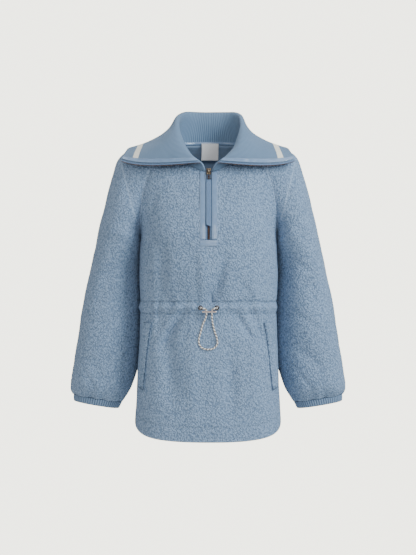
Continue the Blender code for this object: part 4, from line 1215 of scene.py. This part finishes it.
def collar_trims(seen):
    """The satin facing on the fall's front edges, the zip tape past it and the open row of teeth."""
    half = seen[: COLLAR_ACROSS - 2 : -1]
    roll = int(STAND_SHARE * COLLAR_DOWN)
    begins = np.interp(TRIM_FROM_X, half[0, roll:, 0], np.arange(roll, half.shape[1]))
    rows_at = np.linspace(begins, half.shape[1] - 1, TRIM_ROWS)
    middle = -KNIT / 2
    satin = across_collar(half, rows_at, np.linspace(0.3, 0.3 + FACING_WIDTH, TRIM_COLUMNS))
    along, across = np.arange(TRIM_ROWS)[:, None], np.linspace(0, 1, TRIM_COLUMNS)[None]
    pucker = 0.35 * np.sin(along / 2.3 + 1.5 * np.sin(along / 7.1) + 1.2 * across) * np.sin(np.pi * across)
    top, aim = both_sides("collar_satin", satin, FACING_LIFT, SATIN_THICK, SATIN_FINISH, "satin", pucker)
    sew("collar_facing_stitches", both_threads(top, aim, 1), THREAD_FINISH, "satin", lift=0.05)
    tape = across_collar(half, rows_at, np.linspace(*EDGE_TAPE, 5))
    both_sides("collar_tape", tape, middle - TAPE_THICK / 2, TAPE_THICK, TAPE_FINISH, "zip_tape")
    teeth = across_collar(half, rows_at, sum(EDGE_TEETH) / 2 + np.array([-0.6, 0.6]))
    face = facing(across_collar(half, rows_at, np.linspace(0.3, 4, 3)), (0, -1, 1))[:, 0]
    line = teeth.mean(axis=1) + face * middle
    centre, turned = along_line(line, face, TOOTH_PITCH)
    length = line_length(line)
    out = unit(between(np.linspace(0, length[-1], len(centre)), length, teeth[:, 0] - teeth[:, 1]))
    run = turned[:, 0]
    frames = np.stack([out, run, np.cross(out, run)], 1) * np.array(OPEN_TOOTH)[:, None]
    for side, which in SIDES:
        node = f"collar_teeth_{which}"
        row = repeated(*TOOTH, *on_side(side, centre, frames))
        piece(f"{node}_row", *row, TEETH_FINISH, "teeth_metal", node)


def neck_tape_and_label(seen):
    """The satin tape over the back neck seam, and the blank label sewn on below it."""
    reach = 96
    back = seen[COLLAR_ACROSS - 1 - reach : COLLAR_ACROSS + reach]
    wide = np.linspace(*NECK_TAPE, 7)
    base = np.stack([between(wide, far, row) for far, row in zip(row_lengths(back), back)])
    aim = facing(base, (0, -1, 0), (reach, 0))
    strip = rounded(*strip_of(base, NECK_TAPE_THICK, LIFT, aim))
    shell("neck_tape_strip", *strip, SATIN_FINISH, "satin", uv=cloth_map(base), node="neck_tape")
    half_angle = math.degrees(math.asin(LABEL_SIZE / 2 / NECK_HALF_WIDTH))
    turn = np.linspace(-half_angle, half_angle, LABEL_STEPS)
    across = neck(np.abs(turn))
    across[:, 0] = np.sign(turn) * np.abs(across[:, 0])
    label = np.repeat(across[None], LABEL_STEPS, axis=0)
    label[..., 1] -= KNIT + NECK_TAPE_THICK + 2 * LIFT + LABEL_STANDS_OFF
    label[..., 2] = np.linspace(LABEL_TOP, LABEL_TOP - LABEL_SIZE, LABEL_STEPS)[:, None]
    share = np.linspace(0, 1, LABEL_STEPS)
    curl = 1.2 * share[:, None] ** 2 * (1 - 0.6 * np.cos(np.pi * (share - 0.5))[None])
    face = label - np.array([0, 1, 0]) * (0.4 * np.sin(np.pi * share)[None, :, None] + curl[..., None])
    face, behind = rounded(face, face + np.array([0, LABEL_THICK, 0]))
    shell("label_blank", face, behind, LABEL_FINISH, "label_cloth", uv=cloth_map(label), node="label")
    aims = np.zeros((LABEL_STEPS, 3)) + np.array([0, -1, 0])
    lines = [(face[row, 2:-2], aims[2:-2]) for row in (1, -2)]
    lines += [(face[1:-1, column], aims[1:-1]) for column in (1, -2)]
    sew("label_stitches", lines, LABEL_THREAD_FINISH, "label_cloth", pitch=2.6, lift=0.05)


def front_strip(levels, across):
    """Points of the front's outer face at these levels and distances from the middle."""
    base = at_x(body_rows(levels, "front", FINE), np.abs(across))
    base[..., 0] *= np.sign(across)
    return base


def front_levels(start, end, count):
    """Levels at even steps down the front's middle line."""
    return even_levels(start, end, count, lambda at: body_rows(at, "front", np.zeros(1))[:, 0])


def placket():
    """The zip in the front's slit: satin on both sides and below it, tapes, teeth and the pull."""
    steps, columns = 84, 13
    wide = np.linspace(SATIN_IN, SATIN_OUT, columns)
    satin = front_strip(front_levels(ZIP_TOP, PLACKET_ENDS, steps), wide)
    along, across = np.arange(steps + 1)[:, None], np.linspace(0, 1, columns)[None]
    pucker = 0.28 * np.sin(along / 2.6 + 1.3 * np.sin(along / 9)) + 0.55
    pucker = pucker * np.sin(np.pi * across)
    top, aim = both_sides("placket_satin", satin, LIFT, SATIN_THICK, SATIN_FINISH, "satin", pucker)
    thread = both_threads(top, aim, 2)
    low = front_strip(np.linspace(*PLACKET_BASE, 9), np.linspace(-SATIN_OUT, SATIN_OUT, 37))
    turn = facing(low, (0, -1, 0))
    outer, inner = strip_of(low, SATIN_THICK, LIFT, turn)
    shell(
        "placket_base_strip", outer, inner, SATIN_FINISH, "satin", uv=cloth_map(low), node="placket_base"
    )
    thread += [(outer[row, 1:-1], turn[row, 1:-1]) for row in (1, -2)]
    sew("placket_stitches", thread, THREAD_FINISH, "satin", pitch=3.2, lift=0.05)
    tape = front_strip(
        front_levels(ZIP_TOP, NOTCH_LEVEL - 0.05, steps), np.linspace(TEETH_HALF + 0.3, NOTCH_HALF - 0.3, 6)
    )
    both_sides("zip_tape", tape, -TAPE_SUNK - TAPE_THICK, TAPE_THICK, TAPE_FINISH, "zip_tape")
    closed_zip()
    pull_tab()


def closed_zip():
    """The closed run of teeth: two rows that interlock, half a pitch apart."""
    chain = front_strip(np.linspace(CHAIN_STARTS, PLACKET_ENDS, 121), np.array([-1.0, 1.0]))
    aim = facing(chain, (0, -1, 0))[:, 0]
    line = chain.mean(axis=1) - aim * 0.45
    centres, frames = [], []
    for side, inset in ((-1, 0.25), (1, 0.75)):
        centre, turned = along_line(line, aim, TOOTH_PITCH, inset)
        run, up = turned[:, 0], turned[:, 2]
        out = np.cross(run, up)
        out = out * np.sign(out[:, :1]) * side
        centres.append(centre + out * 1.1)
        frames.append(np.stack([out, run, up], 1) * np.array(CLOSED_TOOTH)[:, None])
    teeth = repeated(*TOOTH, np.concatenate(centres), np.concatenate(frames))
    piece("zip_teeth_row", *teeth, TEETH_FINISH, "teeth_metal", "zip_teeth")


def pull_tab():
    """A tape folded in two through the loop: flat and double below, and round at its fold."""
    levels = np.linspace(PULL_FROM, PULL_TO, 73)
    across = np.linspace(-PULL_HALF, PULL_HALF, 17)
    base = front_strip(levels, across)
    base[..., 0] = across[None]
    aim = facing(base, (0, -1, 0))
    share = np.linspace(0, 1, len(levels))[:, None]
    slant = np.interp(across, [-PULL_HALF, 0, PULL_HALF], PULL_SLANT)[None]
    base[..., 2] += slant * np.clip((share - 0.82) / 0.18, 0, 1)
    base[..., 0] *= 1 - 0.42 * np.clip(1 - share / 0.05, 0, 1) ** 1.5
    middle = base + aim * (PULL_LIFT + PULL_THICK / 2)
    round_across = np.sqrt(np.clip(1 - (np.abs(across) / PULL_HALF) ** 8, 0.02, 1))[None]
    thick = PULL_THICK / 2 * round_across * (1 - 0.25 * bump_out(share * PULL_LENGTH - PULL_PRESSED_AT, 1.2))
    outer, inner = middle + aim * thick[..., None], middle - aim * thick[..., None]
    more = {"node": "pull_tab", "body": "zip_pull", "uv": cloth_map(base)}
    shell("pull_tab_tape", outer, inner, TAPE_FINISH, "zip_tape", **more)
    rows = [(outer[6, 3:-3], aim[6, 3:-3]), (outer[-5, 2:-2], aim[-5, 2:-2])]
    rows += [(outer[6:-5, column], aim[6:-5, column]) for column in (2, -3)]
    centres, frames = zip(*(along_line(a + b * 0.02, b, 2.8) for a, b in rows))
    points, faces = repeated(*STITCH, np.concatenate(centres), np.concatenate(frames) * 0.8)
    piece("pull_tab_stitches", points, faces, THREAD_FINISH, "zip_tape", body="zip_pull")


def pocket_welts():
    """Fleece welts over the side pockets' mouths, stitched along both long edges."""
    rows = body_rows(np.linspace(*WELT_LEVELS, WELT_STEPS), "front", FINE)
    inner, outer = (np.linspace(*ends, WELT_STEPS) for ends in (WELT_INNER, WELT_OUTER))
    across = np.linspace(inner, outer, 19, axis=1)
    base = np.stack([between(x, row[:, 0], row) for row, x in zip(rows, across)])
    aim = facing(base, (0, -1, 0))
    edge = np.minimum(to_column(base, 0), to_column(base, -1))
    ends = np.minimum(np.arange(WELT_STEPS), np.arange(WELT_STEPS)[::-1])[:, None] * 2.6
    near = np.minimum(edge, 0.7 * ends)
    pressed = bump_out(near, 1.6)
    padded = 1.3 + 1.3 * (1 - bump_out(near, 5.0)) - 0.9 * pressed
    high, low = strip_of(base, WELT_THICK, LIFT, aim)
    thread = []
    for (side, which), shadow_line in zip(SIDES, WELT_SHADOW_LINES):
        points, turned, under = on_side(side, high, aim, low)
        pile = pebbles(points, PEBBLE)
        top = points + turned * (padded + PILE * (pile * (1 - pressed) - 0.3))[..., None]
        # Painted shadow: the tone drops to a dark line round the welt's edges.
        tone = np.clip(pile - shadow_line * bump_out(near, 2.3), -1, 1)
        node = f"pocket_welt_{which}"
        shell(f"{node}_fleece", top, under, FLEECE_FINISH, "fleece", COLUMN_STEP, tone=tone, node=node)
        thread += [(top[1:-1, column], turned[1:-1, column]) for column in (3, -4)]
    sew("pocket_stitches", thread, THREAD_FINISH, "fleece")


def cord_points(pitch):
    """The drawcord's middle line, read at an even pitch from the same table as its solid."""
    points = np.array([(x, cloth_y(x, z) - off, z) for x, z, off in zip(*CORD.values())])
    knots = line_length(points)
    at = np.linspace(0, knots[-1], int(knots[-1] / pitch) + 1)
    fine = np.linspace(0, knots[-1], 1500)
    return lean(between(at, fine, np.stack([smooth(fine, knots, points[:, k]) for k in range(3)], -1)))


CORD_TWIST = 7.6


def twisted_cord():
    """Two strands laid round each other: the section is two lobes that turn as they go along."""
    line = cord_points(0.5)
    length = line_length(line)
    run = unit(np.gradient(line, axis=0))
    side = unit(np.cross(run, np.array([0, 1, 0])))
    up = np.cross(side, run)
    turn = circle(20)
    lag = turn[None] - 2 * np.pi * length[:, None] / CORD_TWIST
    cap = np.sqrt(np.clip(np.minimum(length, length[-1] - length) / 1.2, 0.05, 1))[:, None]
    radius = CORD_WIDE / 2 * (0.86 + 0.14 * np.cos(2 * lag)) * cap
    across = side[:, None] * np.cos(turn)[None, :, None] + up[:, None] * np.sin(turn)[None, :, None]
    points = (line[:, None] + across * radius[..., None]).reshape(-1, 3)
    points = np.concatenate([points, line[:1], line[-1:]])
    tone = np.r_[(0.5 + 0.5 * np.cos(lag)).ravel(), 0.5, 0.5]
    faces = tube_faces(len(line), len(turn))
    more = {"node": "drawcord", "tone": tone, "placed": True}
    made = piece("drawcord_twist", points, faces, CORD_FINISH, "cord_yarn", **more)


def ring_solid(profile, steps):
    """A closed ring: a profile of (radius, y) points carried round the y axis."""
    turn = circle(steps)[:, None]
    r, y = np.array(profile).T
    points = np.stack([r * np.cos(turn), y + 0 * turn, r * np.sin(turn)], -1)
    index = np.arange(steps * len(r)).reshape(steps, len(r))
    index = closed(np.concatenate([index, index[:1]]))
    return points.reshape(-1, 3), [grid_quads(index).reshape(-1, 4)]


def eyelets():
    """Pressed metal eyelets: a rolled rim, a ring of oval section."""
    profile = [
        (EYELET_RING + 1.35 * math.cos(a), -EYELET_WIRE - 0.1 - 0.85 * math.sin(a)) for a in circle(14)
    ]
    points, faces = ring_solid(profile, 56)
    for side, which in SIDES[::-1]:
        x, z = side * EYELET_X, EYELET_Z
        moved = points + lean(np.array([[x, cloth_y(x, z) - LIFT, z]]))[0]
        node = f"eyelet_{which}"
        piece(f"{node}_rim", moved, faces, GUNMETAL_FINISH, "slider_metal", node, placed=True)


FLOOR_RINGS = (0.02, 0.7, 1.4)
FLOOR_STEPS = 96
FLOOR_Z = -1.5
THIRDS = (0.0, 0.5, 1.0)
SCRATCH = 0.12


# Finishes. Each is one principled shader, whose colour and bump come from patterns in object
# coordinates, in the piece's cloth map or in its tone.
class Finish:
    """One material under construction. Its methods add a node and hand back what the node gives."""

    def __init__(self, name, roughness, sheen=(), specular=0.5):
        """sheen is its weight, its roughness and, where it isn't white, its colour."""
        self.material = bpy.data.materials.new(name)
        self.material.use_nodes = True
        self.tree = self.material.node_tree
        self.shader = self.tree.nodes["Principled BSDF"]
        self.shader.inputs["Roughness"].default_value = roughness
        self.shader.inputs["Specular IOR Level"].default_value = specular
        for socket, value in zip(("Sheen Weight", "Sheen Roughness", "Sheen Tint"), sheen):
            self.shader.inputs[socket].default_value = (*value, 1) if socket == "Sheen Tint" else value
        self.place = self.add("ShaderNodeTexCoord").outputs["Object"]

    def add(self, kind, links=(), **values):
        """A new node. links gives an input another node's output or a plain value."""
        node = self.tree.nodes.new(kind)
        for key, value in values.items():
            setattr(node, key, value)
        for socket, value in dict(links).items():
            if isinstance(value, bpy.types.NodeSocket):
                self.tree.links.new(value, node.inputs[socket])
            else:
                node.inputs[socket].default_value = value
        return node

    def noise(self, per_metre, detail=2.0, roughness=0.5, stretch=(1, 1, 1), at=None):
        """Uneven cloud, 0 to 1, whose blobs are about 1 / per_metre across."""
        mapped = self.add("ShaderNodeMapping", {"Vector": at or self.place, "Scale": stretch})
        settings = {"Scale": per_metre, "Detail": detail, "Roughness": roughness}
        return self.add("ShaderNodeTexNoise", {"Vector": mapped.outputs[0], **settings}).outputs[0]

    def sums(self, operation, a, b=0.0, c=0.0, clamp=False):
        """One operation of arithmetic on up to three outputs or plain numbers."""
        made = self.add("ShaderNodeMath", {0: a, 1: b, 2: c}, operation=operation, use_clamp=clamp)
        return made.outputs[0]

    def grain(self, height, noise, share, less):
        """A height with a share of some noise added to it, and a little taken off to make up for that."""
        return self.sums("MULTIPLY_ADD", noise, share, self.sums("SUBTRACT", height, less), clamp=True)

    def ramp(self, factor, places, *colours):
        """Colours along a factor, one at each place."""
        made = self.add("ShaderNodeValToRGB", {"Fac": factor})
        elements = made.color_ramp.elements
        while len(elements) < len(places):
            elements.new(0.5)
        for element, place, colour in zip(elements, places, colours):
            element.position = place
            element.color = (*colour, 1)
        return made.outputs[0]

    def blend(self, factor, one, other, how="MIX"):
        """The first colour turned into the other by a factor, or multiplied by it."""
        made = self.add("ShaderNodeMix", data_type="RGBA", blend_type=how)
        for socket, value in ((0, factor), (6, one), (7, other)):
            if isinstance(value, bpy.types.NodeSocket):
                self.tree.links.new(value, made.inputs[socket])
            else:
                made.inputs[socket].default_value = value if socket == 0 else (*value, 1)
        return made.outputs[2]

    def shaded(self, colour, light):
        """A colour made lighter or darker by a factor about 1."""
        grey = self.add("ShaderNodeCombineColor", {0: light, 1: light, 2: light}).outputs[0]
        return self.blend(1.0, colour, grey, "MULTIPLY")

    def tone(self):
        """The value that the mesh carries at each of its points."""
        return self.add("ShaderNodeAttribute", attribute_name="tone").outputs["Fac"]

    def cloth(self):
        """The place on the piece's own cloth map, with how far along it and across it, in metres."""
        where = self.add("ShaderNodeUVMap", uv_map="cloth").outputs[0]
        parts = self.add("ShaderNodeSeparateXYZ", {0: where})
        return where, parts.outputs[0], parts.outputs[1]

    def ribs(self, along, pitch):
        """A wave from 0 to 1 along a length, one to each pitch."""
        turn = self.sums("MULTIPLY", along, 2 * math.pi / pitch)
        return self.sums("MULTIPLY_ADD", self.sums("SINE", turn), 0.5, 0.5)

    def done(self, colour, bumps, roughness=None):
        """Joins the colour and the bumps, each a height, its depth in metres and a strength."""
        self.tree.links.new(colour, self.shader.inputs["Base Color"])
        normal = None
        for height, depth, strength in bumps:
            links = {"Height": height, "Distance": depth, "Strength": strength}
            if normal is not None:
                links["Normal"] = normal
            normal = self.add("ShaderNodeBump", links).outputs[0]
        if normal is not None:
            self.tree.links.new(normal, self.shader.inputs["Normal"])
        if roughness is not None:
            self.tree.links.new(roughness, self.shader.inputs["Roughness"])
        return self.material


def fleece_finish():
    """Pebbled pile: painted shade between the nodules and a painted highlight on their tips, with a fine
    fuzz over all.

    The nodules are rounded cells of a bent lattice. They lie on the larger pebbles of the mesh, whose tone
    is low in their creases, so these get painted shade too. A tone above 1 marks a seam, painted pale as a
    highlight along its raised line, and one below 0 a painted shadow line. A tone below
    -1.2 marks the inside of the garment, where the cloth shows its smooth knitted back.
    """
    f = Finish("pebbled_fleece", 0.95, (0.22, 0.45, (0.62, 0.76, 0.95)), 0.12)
    bend = f.add("ShaderNodeTexNoise", {"Vector": f.place, "Scale": 150.0, "Detail": 1.0}).outputs[1]
    bent = f.add("ShaderNodeMix", {0: 0.006, 4: f.place, 5: bend}, data_type="VECTOR").outputs[1]
    squeezed = f.add("ShaderNodeMapping", {"Vector": bent, "Scale": (1, 1, 0.78)}).outputs[0]
    cell = f.add(
        "ShaderNodeTexVoronoi",
        {"Vector": squeezed, "Scale": 280.0, "Smoothness": 0.1, "Randomness": 0.95},
        feature="SMOOTH_F1",
    ).outputs[0]
    nodule = f.sums("SUBTRACT", 1.0, f.sums("POWER", f.sums("MULTIPLY", cell, 1.35), 1.8), clamp=True)
    fuzz = f.noise(900, 3, 0.65)
    patchy = f.noise(55, 2, 0.6)
    wide = f.noise(9, 2, 0.5)
    height = f.sums("MULTIPLY_ADD", nodule, 0.60, f.sums("MULTIPLY_ADD", f.tone(), 0.17, 0.12))
    height = f.grain(height, fuzz, 0.20, 0.10)
    # The ramp runs from painted shade, dark in the creases between the nodules, to a painted highlight, pale
    # on their tips.
    colour = f.ramp(
        height,
        (0.0, 0.30, 0.65, 1.0),
        (0.078, 0.125, 0.205),
        (0.172, 0.254, 0.386),
        (0.250, 0.357, 0.525),
        (0.340, 0.462, 0.645),
    )
    uneven = f.sums("MULTIPLY_ADD", patchy, 0.14, 0.93)
    colour = f.shaded(colour, f.sums("MULTIPLY_ADD", wide, 0.16, f.sums("SUBTRACT", uneven, 0.08)))
    # Painted highlight: the seams are blended towards a pale blue.
    seam = f.sums("MULTIPLY", f.sums("SUBTRACT", f.tone(), 1.0, clamp=True), 0.75)
    colour = f.blend(seam, colour, (0.360, 0.480, 0.660))
    # Painted shadow: where the tone is below 0, in the stitched grooves and round the pocket welts, the
    # colour is blended to near black.
    line = f.sums("MULTIPLY", f.sums("MULTIPLY", f.tone(), -1.0, clamp=True), 0.85)
    colour = f.blend(line, colour, (0.040, 0.065, 0.110))
    knitted = f.sums("LESS_THAN", f.tone(), -1.2)
    back = f.ramp(fuzz, (0.25, 0.75), (0.190, 0.270, 0.400), (0.260, 0.360, 0.510))
    colour = f.blend(knitted, colour, back)
    raised = f.sums("MULTIPLY", nodule, f.sums("SUBTRACT", 1.0, knitted))
    return f.done(colour, ((raised, 0.0023, 0.9), (fuzz, 0.0004, 0.4)))


RIB_PITCH = 0.0044
STRIPE = (0.026, 0.040)
STRIPE_FROM_END = 0.009


def collar_finish():
    """Fine ribs that run from the neck to the outer edge, and one cream stripe knitted in round it."""
    f = Finish("collar_rib_knit", 0.86, (0.22, 0.4, (0.75, 0.83, 0.95)), 0.2)
    _, along, across = f.cloth()
    rib = f.ribs(f.sums("MULTIPLY_ADD", f.noise(14, 2, 0.5), 0.0022, along), RIB_PITCH)
    loops = f.ribs(across, 0.00135)
    fine = f.noise(1500, 2, 0.6)
    knit = f.sums("MULTIPLY_ADD", loops, 0.18, f.sums("MULTIPLY", rib, 0.82))
    mixed = f.grain(knit, fine, 0.30, 0.15)
    # Painted shade and highlight: both ramps are darker in the grooves between the ribs and lighter on their
    # tops.
    blue = f.ramp(mixed, THIRDS, (0.090, 0.148, 0.232), (0.128, 0.203, 0.315), (0.172, 0.262, 0.392))
    cream = f.ramp(mixed, THIRDS, (0.62, 0.60, 0.52), (0.80, 0.78, 0.69), (0.89, 0.87, 0.79))
    wander = f.sums("MULTIPLY_ADD", f.noise(160, 2, 0.5), 0.0010, f.sums("SUBTRACT", across, 0.0005))
    past, before = f.sums("GREATER_THAN", wander, STRIPE[0]), f.sums("LESS_THAN", wander, STRIPE[1])
    inside = f.sums("MULTIPLY", past, before)
    inside = f.sums("MULTIPLY", inside, f.sums("GREATER_THAN", along, STRIPE_FROM_END))
    shade = f.sums("MULTIPLY_ADD", f.noise(24, 2, 0.5), 0.18, 0.91)
    colour = f.shaded(f.blend(inside, blue, cream), shade)
    return f.done(colour, ((rib, 0.0010, 0.6), (loops, 0.0004, 0.3), (fine, 0.0003, 0.35)))


def cuff_finish():
    """Painted highlight on top of the raised ribs and painted shade between them, with small loops of yarn
    along them.
    """
    f = Finish("cuff_rib_knit", 0.88, (0.2, 0.4), 0.2)
    fine = f.noise(1400, 2, 0.6)
    loops = f.ribs(f.add("ShaderNodeSeparateXYZ", {0: f.place}).outputs[2], 0.0016)
    height = f.sums("MULTIPLY_ADD", f.tone(), 0.75, f.sums("MULTIPLY", loops, 0.12))
    height = f.grain(height, fine, 0.25, 0.06)
    # Painted shade and highlight: the ramp runs from near black between the ribs to pale blue on their tops.
    colour = f.ramp(height, THIRDS, (0.035, 0.06, 0.11), (0.12, 0.185, 0.29), (0.23, 0.33, 0.48))
    return f.done(colour, ((loops, 0.0005, 0.4), (fine, 0.0003, 0.45)))


def satin_finish(name, colour, light):
    """Glossy satin: long fine threads along the strip, and faint draws across it at the stitching."""
    f = Finish(name, 0.2, specular=0.55)
    where, _, _ = f.cloth()
    threads = f.noise(2600, 1, 0.4, (0.06, 1, 1), where)
    draws = f.noise(240, 2, 0.5, (1, 0.35, 1), where)
    patches = f.noise(60, 2, 0.5)
    mixed = f.sums("MULTIPLY_ADD", threads, 0.5, f.sums("MULTIPLY", patches, 0.5), clamp=True)
    tint = f.ramp(mixed, (0.25, 0.75), colour, light)
    rough = f.sums("MULTIPLY_ADD", threads, 0.14, 0.14)
    return f.done(tint, ((draws, 0.0010, 0.40), (threads, 0.0002, 0.30)), rough)


def tape_finish():
    """Woven tape: a fine herringbone of threads across it, over faint wales along it."""
    f = Finish("woven_tape", 0.6, (0.15, 0.4), 0.35)
    _, along, across = f.cloth()
    zigzag = f.sums("PINGPONG", across, 0.0011)
    weave = f.ribs(f.sums("ADD", along, zigzag), 0.0010)
    wales = f.ribs(across, 0.0011)
    fine = f.noise(1800, 2, 0.6)
    mixed = f.sums("MULTIPLY_ADD", weave, 0.55, f.sums("MULTIPLY", wales, 0.25))
    mixed = f.grain(mixed, fine, 0.3, 0.08)
    colour = f.ramp(mixed, THIRDS, (0.055, 0.10, 0.19), (0.115, 0.195, 0.34), (0.19, 0.29, 0.46))
    return f.done(colour, ((weave, 0.0004, 0.5), (wales, 0.0003, 0.3)))


def metal_finish(name, dark, light, roughness):
    """Metal with a patchy tarnish and fine scratches, brighter where it is handled."""
    f = Finish(name, roughness)
    f.shader.inputs["Metallic"].default_value = 1.0
    scratches = f.noise(1600, 2, 0.7, (1, 1, 6))
    colour = f.ramp(f.noise(420, 3, 0.6), (0.3, 0.72), dark, light)
    rough = f.sums("MULTIPLY_ADD", scratches, SCRATCH, roughness - SCRATCH / 2)
    return f.done(colour, ((scratches, 0.0001, 0.25),), rough)


def rubber_finish():
    """Nearly black rubber, a little paler where its fine grain stands up."""
    f = Finish("loop_rubber", 0.55, specular=0.4)
    grain = f.noise(1500, 2, 0.6)
    colour = f.ramp(grain, (0.3, 0.8), (0.012, 0.013, 0.018), (0.032, 0.034, 0.042))
    return f.done(colour, ((grain, 0.0002, 0.3),))


def label_finish():
    """A blank label of fine plain weave: warp and weft cross under and over each other."""
    f = Finish("label_weave", 0.72, (0.1, 0.4), 0.3)
    _, along, across = f.cloth()
    warp, weft = f.ribs(across, 0.0011), f.ribs(along, 0.0011)
    fine = f.noise(1500, 2, 0.6)
    woven = f.sums("ADD", f.sums("MULTIPLY", warp, 0.35), f.sums("MULTIPLY", weft, 0.35))
    mixed = f.sums("MULTIPLY_ADD", fine, 0.3, woven, clamp=True)
    colour = f.ramp(mixed, THIRDS, (0.62, 0.64, 0.66), (0.78, 0.79, 0.80), (0.86, 0.87, 0.87))
    return f.done(colour, ((woven, 0.0003, 0.4),))


def thread_finish(name, dark, light):
    """Sewing thread: fine fibres, dark where they lie low and light where they stand up."""
    f = Finish(name, 0.6, (0.15, 0.4), 0.3)
    fibre = f.noise(2200, 2, 0.6)
    return f.done(f.ramp(fibre, (0.3, 0.75), dark, light), ((fibre, 0.0002, 0.4),))


def cord_finish():
    """One strand is white and the other beige brown, and both show their fibres."""
    f = Finish("twisted_cord_yarn", 0.62, (0.2, 0.4), 0.35)
    fibre = f.noise(1300, 3, 0.65)
    strand = f.grain(f.tone(), fibre, 0.36, 0.18)
    places = (0.12, 0.38, 0.60, 0.9)
    browns = (0.20, 0.165, 0.135), (0.42, 0.37, 0.32)
    whites = (0.66, 0.64, 0.60), (0.86, 0.86, 0.85)
    return f.done(f.ramp(strand, places, *browns, *whites), ((fibre, 0.0004, 0.5),))


def plain_floor():
    """A pale floor disc below the garment. It is part of the stage."""
    turn = circle(FLOOR_STEPS)
    rings = [np.stack([r * np.cos(turn), r * np.sin(turn), 0 * turn + FLOOR_Z], -1) for r in FLOOR_RINGS]
    index = np.arange(len(rings) * FLOOR_STEPS).reshape(len(rings), FLOOR_STEPS)
    quads = grid_quads(closed(index)).reshape(-1, 4)
    mesh = bpy.data.meshes.new("floor")
    mesh.from_pydata(np.concatenate(rings).tolist(), [], quads.tolist() + [index[0].tolist()])
    f = Finish("pale_floor", 0.9)
    colour = f.ramp(f.noise(3, 2, 0.5), (0.3, 0.7), (0.78, 0.775, 0.76), (0.80, 0.795, 0.78))
    mesh.materials.append(f.done(colour, ()))
    floor = bpy.data.objects.new("floor", mesh)
    bpy.context.scene.collection.objects.link(floor)


def soft_box(name, place, aim, size, watts, colour=(1, 1, 1)):
    """A square light at a place, turned towards a point."""
    light = bpy.data.lights.new(name, "AREA")
    light.shape, light.size, light.size_y = "RECTANGLE", *size
    light.energy, light.color = watts, colour
    obj = bpy.data.objects.new(name, light)
    bpy.context.scene.collection.objects.link(obj)
    obj.location = place
    obj.rotation_euler = (Vector(aim) - Vector(place)).to_track_quat("-Z", "Y").to_euler()


def studio():
    """The lights and a pale surround: a key and a steep streak light at the right, three weak fills."""
    middle = (0, 0, -0.3)
    soft_box("key_light", (2.0, -1.5, 0.95), middle, (1.0, 1.5), 78, (0.83, 0.95, 1.0))
    soft_box("front_light", (0.35, -3.4, 0.55), middle, (1.0, 0.7), 24, (0.98, 0.98, 0.97))
    soft_box("streak_light", (1.9, -1.3, 1.9), middle, (0.8, 0.5), 14)
    soft_box("left_fill", (-2.4, -1.8, 0.3), middle, (1.6, 1.6), 18, (1.0, 0.93, 0.84))
    soft_box("top_light", (0.2, 0.2, 1.7), middle, (1.6, 1.2), 12)
    world = bpy.data.worlds.new("pale_surround")
    world.use_nodes = True
    tree = world.node_tree
    glow, backdrop = tree.nodes["Background"], tree.nodes.new("ShaderNodeBackground")
    settings = (glow, (1.0, 0.985, 0.96), 0.56), (backdrop, (1.0, 0.99, 0.87), 3.8)
    for node, colour, strength in settings:
        node.inputs["Color"].default_value = (*colour, 1)
        node.inputs["Strength"].default_value = strength
    seen = tree.nodes.new("ShaderNodeLightPath")
    mixed = tree.nodes.new("ShaderNodeMixShader")
    tree.links.new(seen.outputs["Is Camera Ray"], mixed.inputs[0])
    tree.links.new(glow.outputs[0], mixed.inputs[1])
    tree.links.new(backdrop.outputs[0], mixed.inputs[2])
    tree.links.new(mixed.outputs[0], tree.nodes["World Output"].inputs[0])
    bpy.context.scene.world = world


def camera():
    """Square on to the front, 3 m away, so that one pixel is 2.4 mm at the garment's middle."""
    lens = bpy.data.cameras.new("camera")
    lens.sensor_fit, lens.sensor_height, lens.lens = "VERTICAL", 36.0, 81.08
    obj = bpy.data.objects.new("camera", lens)
    bpy.context.scene.collection.objects.link(obj)
    obj.location = (0, -3.0, -0.305)
    obj.rotation_euler = (math.radians(90), 0, 0)
    bpy.context.scene.camera = obj


FLEECE_FINISH = fleece_finish()
COLLAR_FINISH = collar_finish()
CUFF_FINISH = cuff_finish()
SATIN_FINISH = satin_finish("glossy_satin", (0.12, 0.20, 0.34), (0.20, 0.30, 0.46))
TAPE_FINISH = tape_finish()
TEETH_FINISH = metal_finish("antique_teeth", (0.08, 0.045, 0.032), (0.28, 0.17, 0.12), 0.36)
GUNMETAL_FINISH = metal_finish("eyelet_gunmetal", (0.035, 0.030, 0.028), (0.20, 0.17, 0.15), 0.2)
SLIDER_FINISH = metal_finish("slider_bronze", (0.12, 0.09, 0.065), (0.42, 0.32, 0.22), 0.30)
BAR_FINISH = metal_finish("bar_polished", (0.62, 0.50, 0.48), (0.80, 0.72, 0.70), 0.20)
LOOP_FINISH = rubber_finish()
LABEL_FINISH = label_finish()
LABEL_THREAD_FINISH = thread_finish("label_thread", (0.50, 0.52, 0.55), (0.66, 0.68, 0.70))
THREAD_FINISH = thread_finish("blue_thread", (0.20, 0.28, 0.39), (0.36, 0.46, 0.58))
CORD_FINISH = cord_finish()

camera()
twisted_cord()
body_levels, arm_levels = panel_levels()
panels, panel_aims = panel_grids(body_levels, arm_levels)
body_panels(body_levels, panels, panel_aims)
sleeves(arm_levels, panels, panel_aims)
rib_cuffs()
collar_face = knit_collar()
collar_trims(collar_face)
neck_tape_and_label(collar_face)
placket()
pocket_welts()
eyelets()
for node, metal in (("slider", SLIDER_FINISH), ("cord_bar", BAR_FINISH), ("pull_loop", LOOP_FINISH)):
    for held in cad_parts[node].material_slots:
        held.material = metal
plain_floor()
studio()
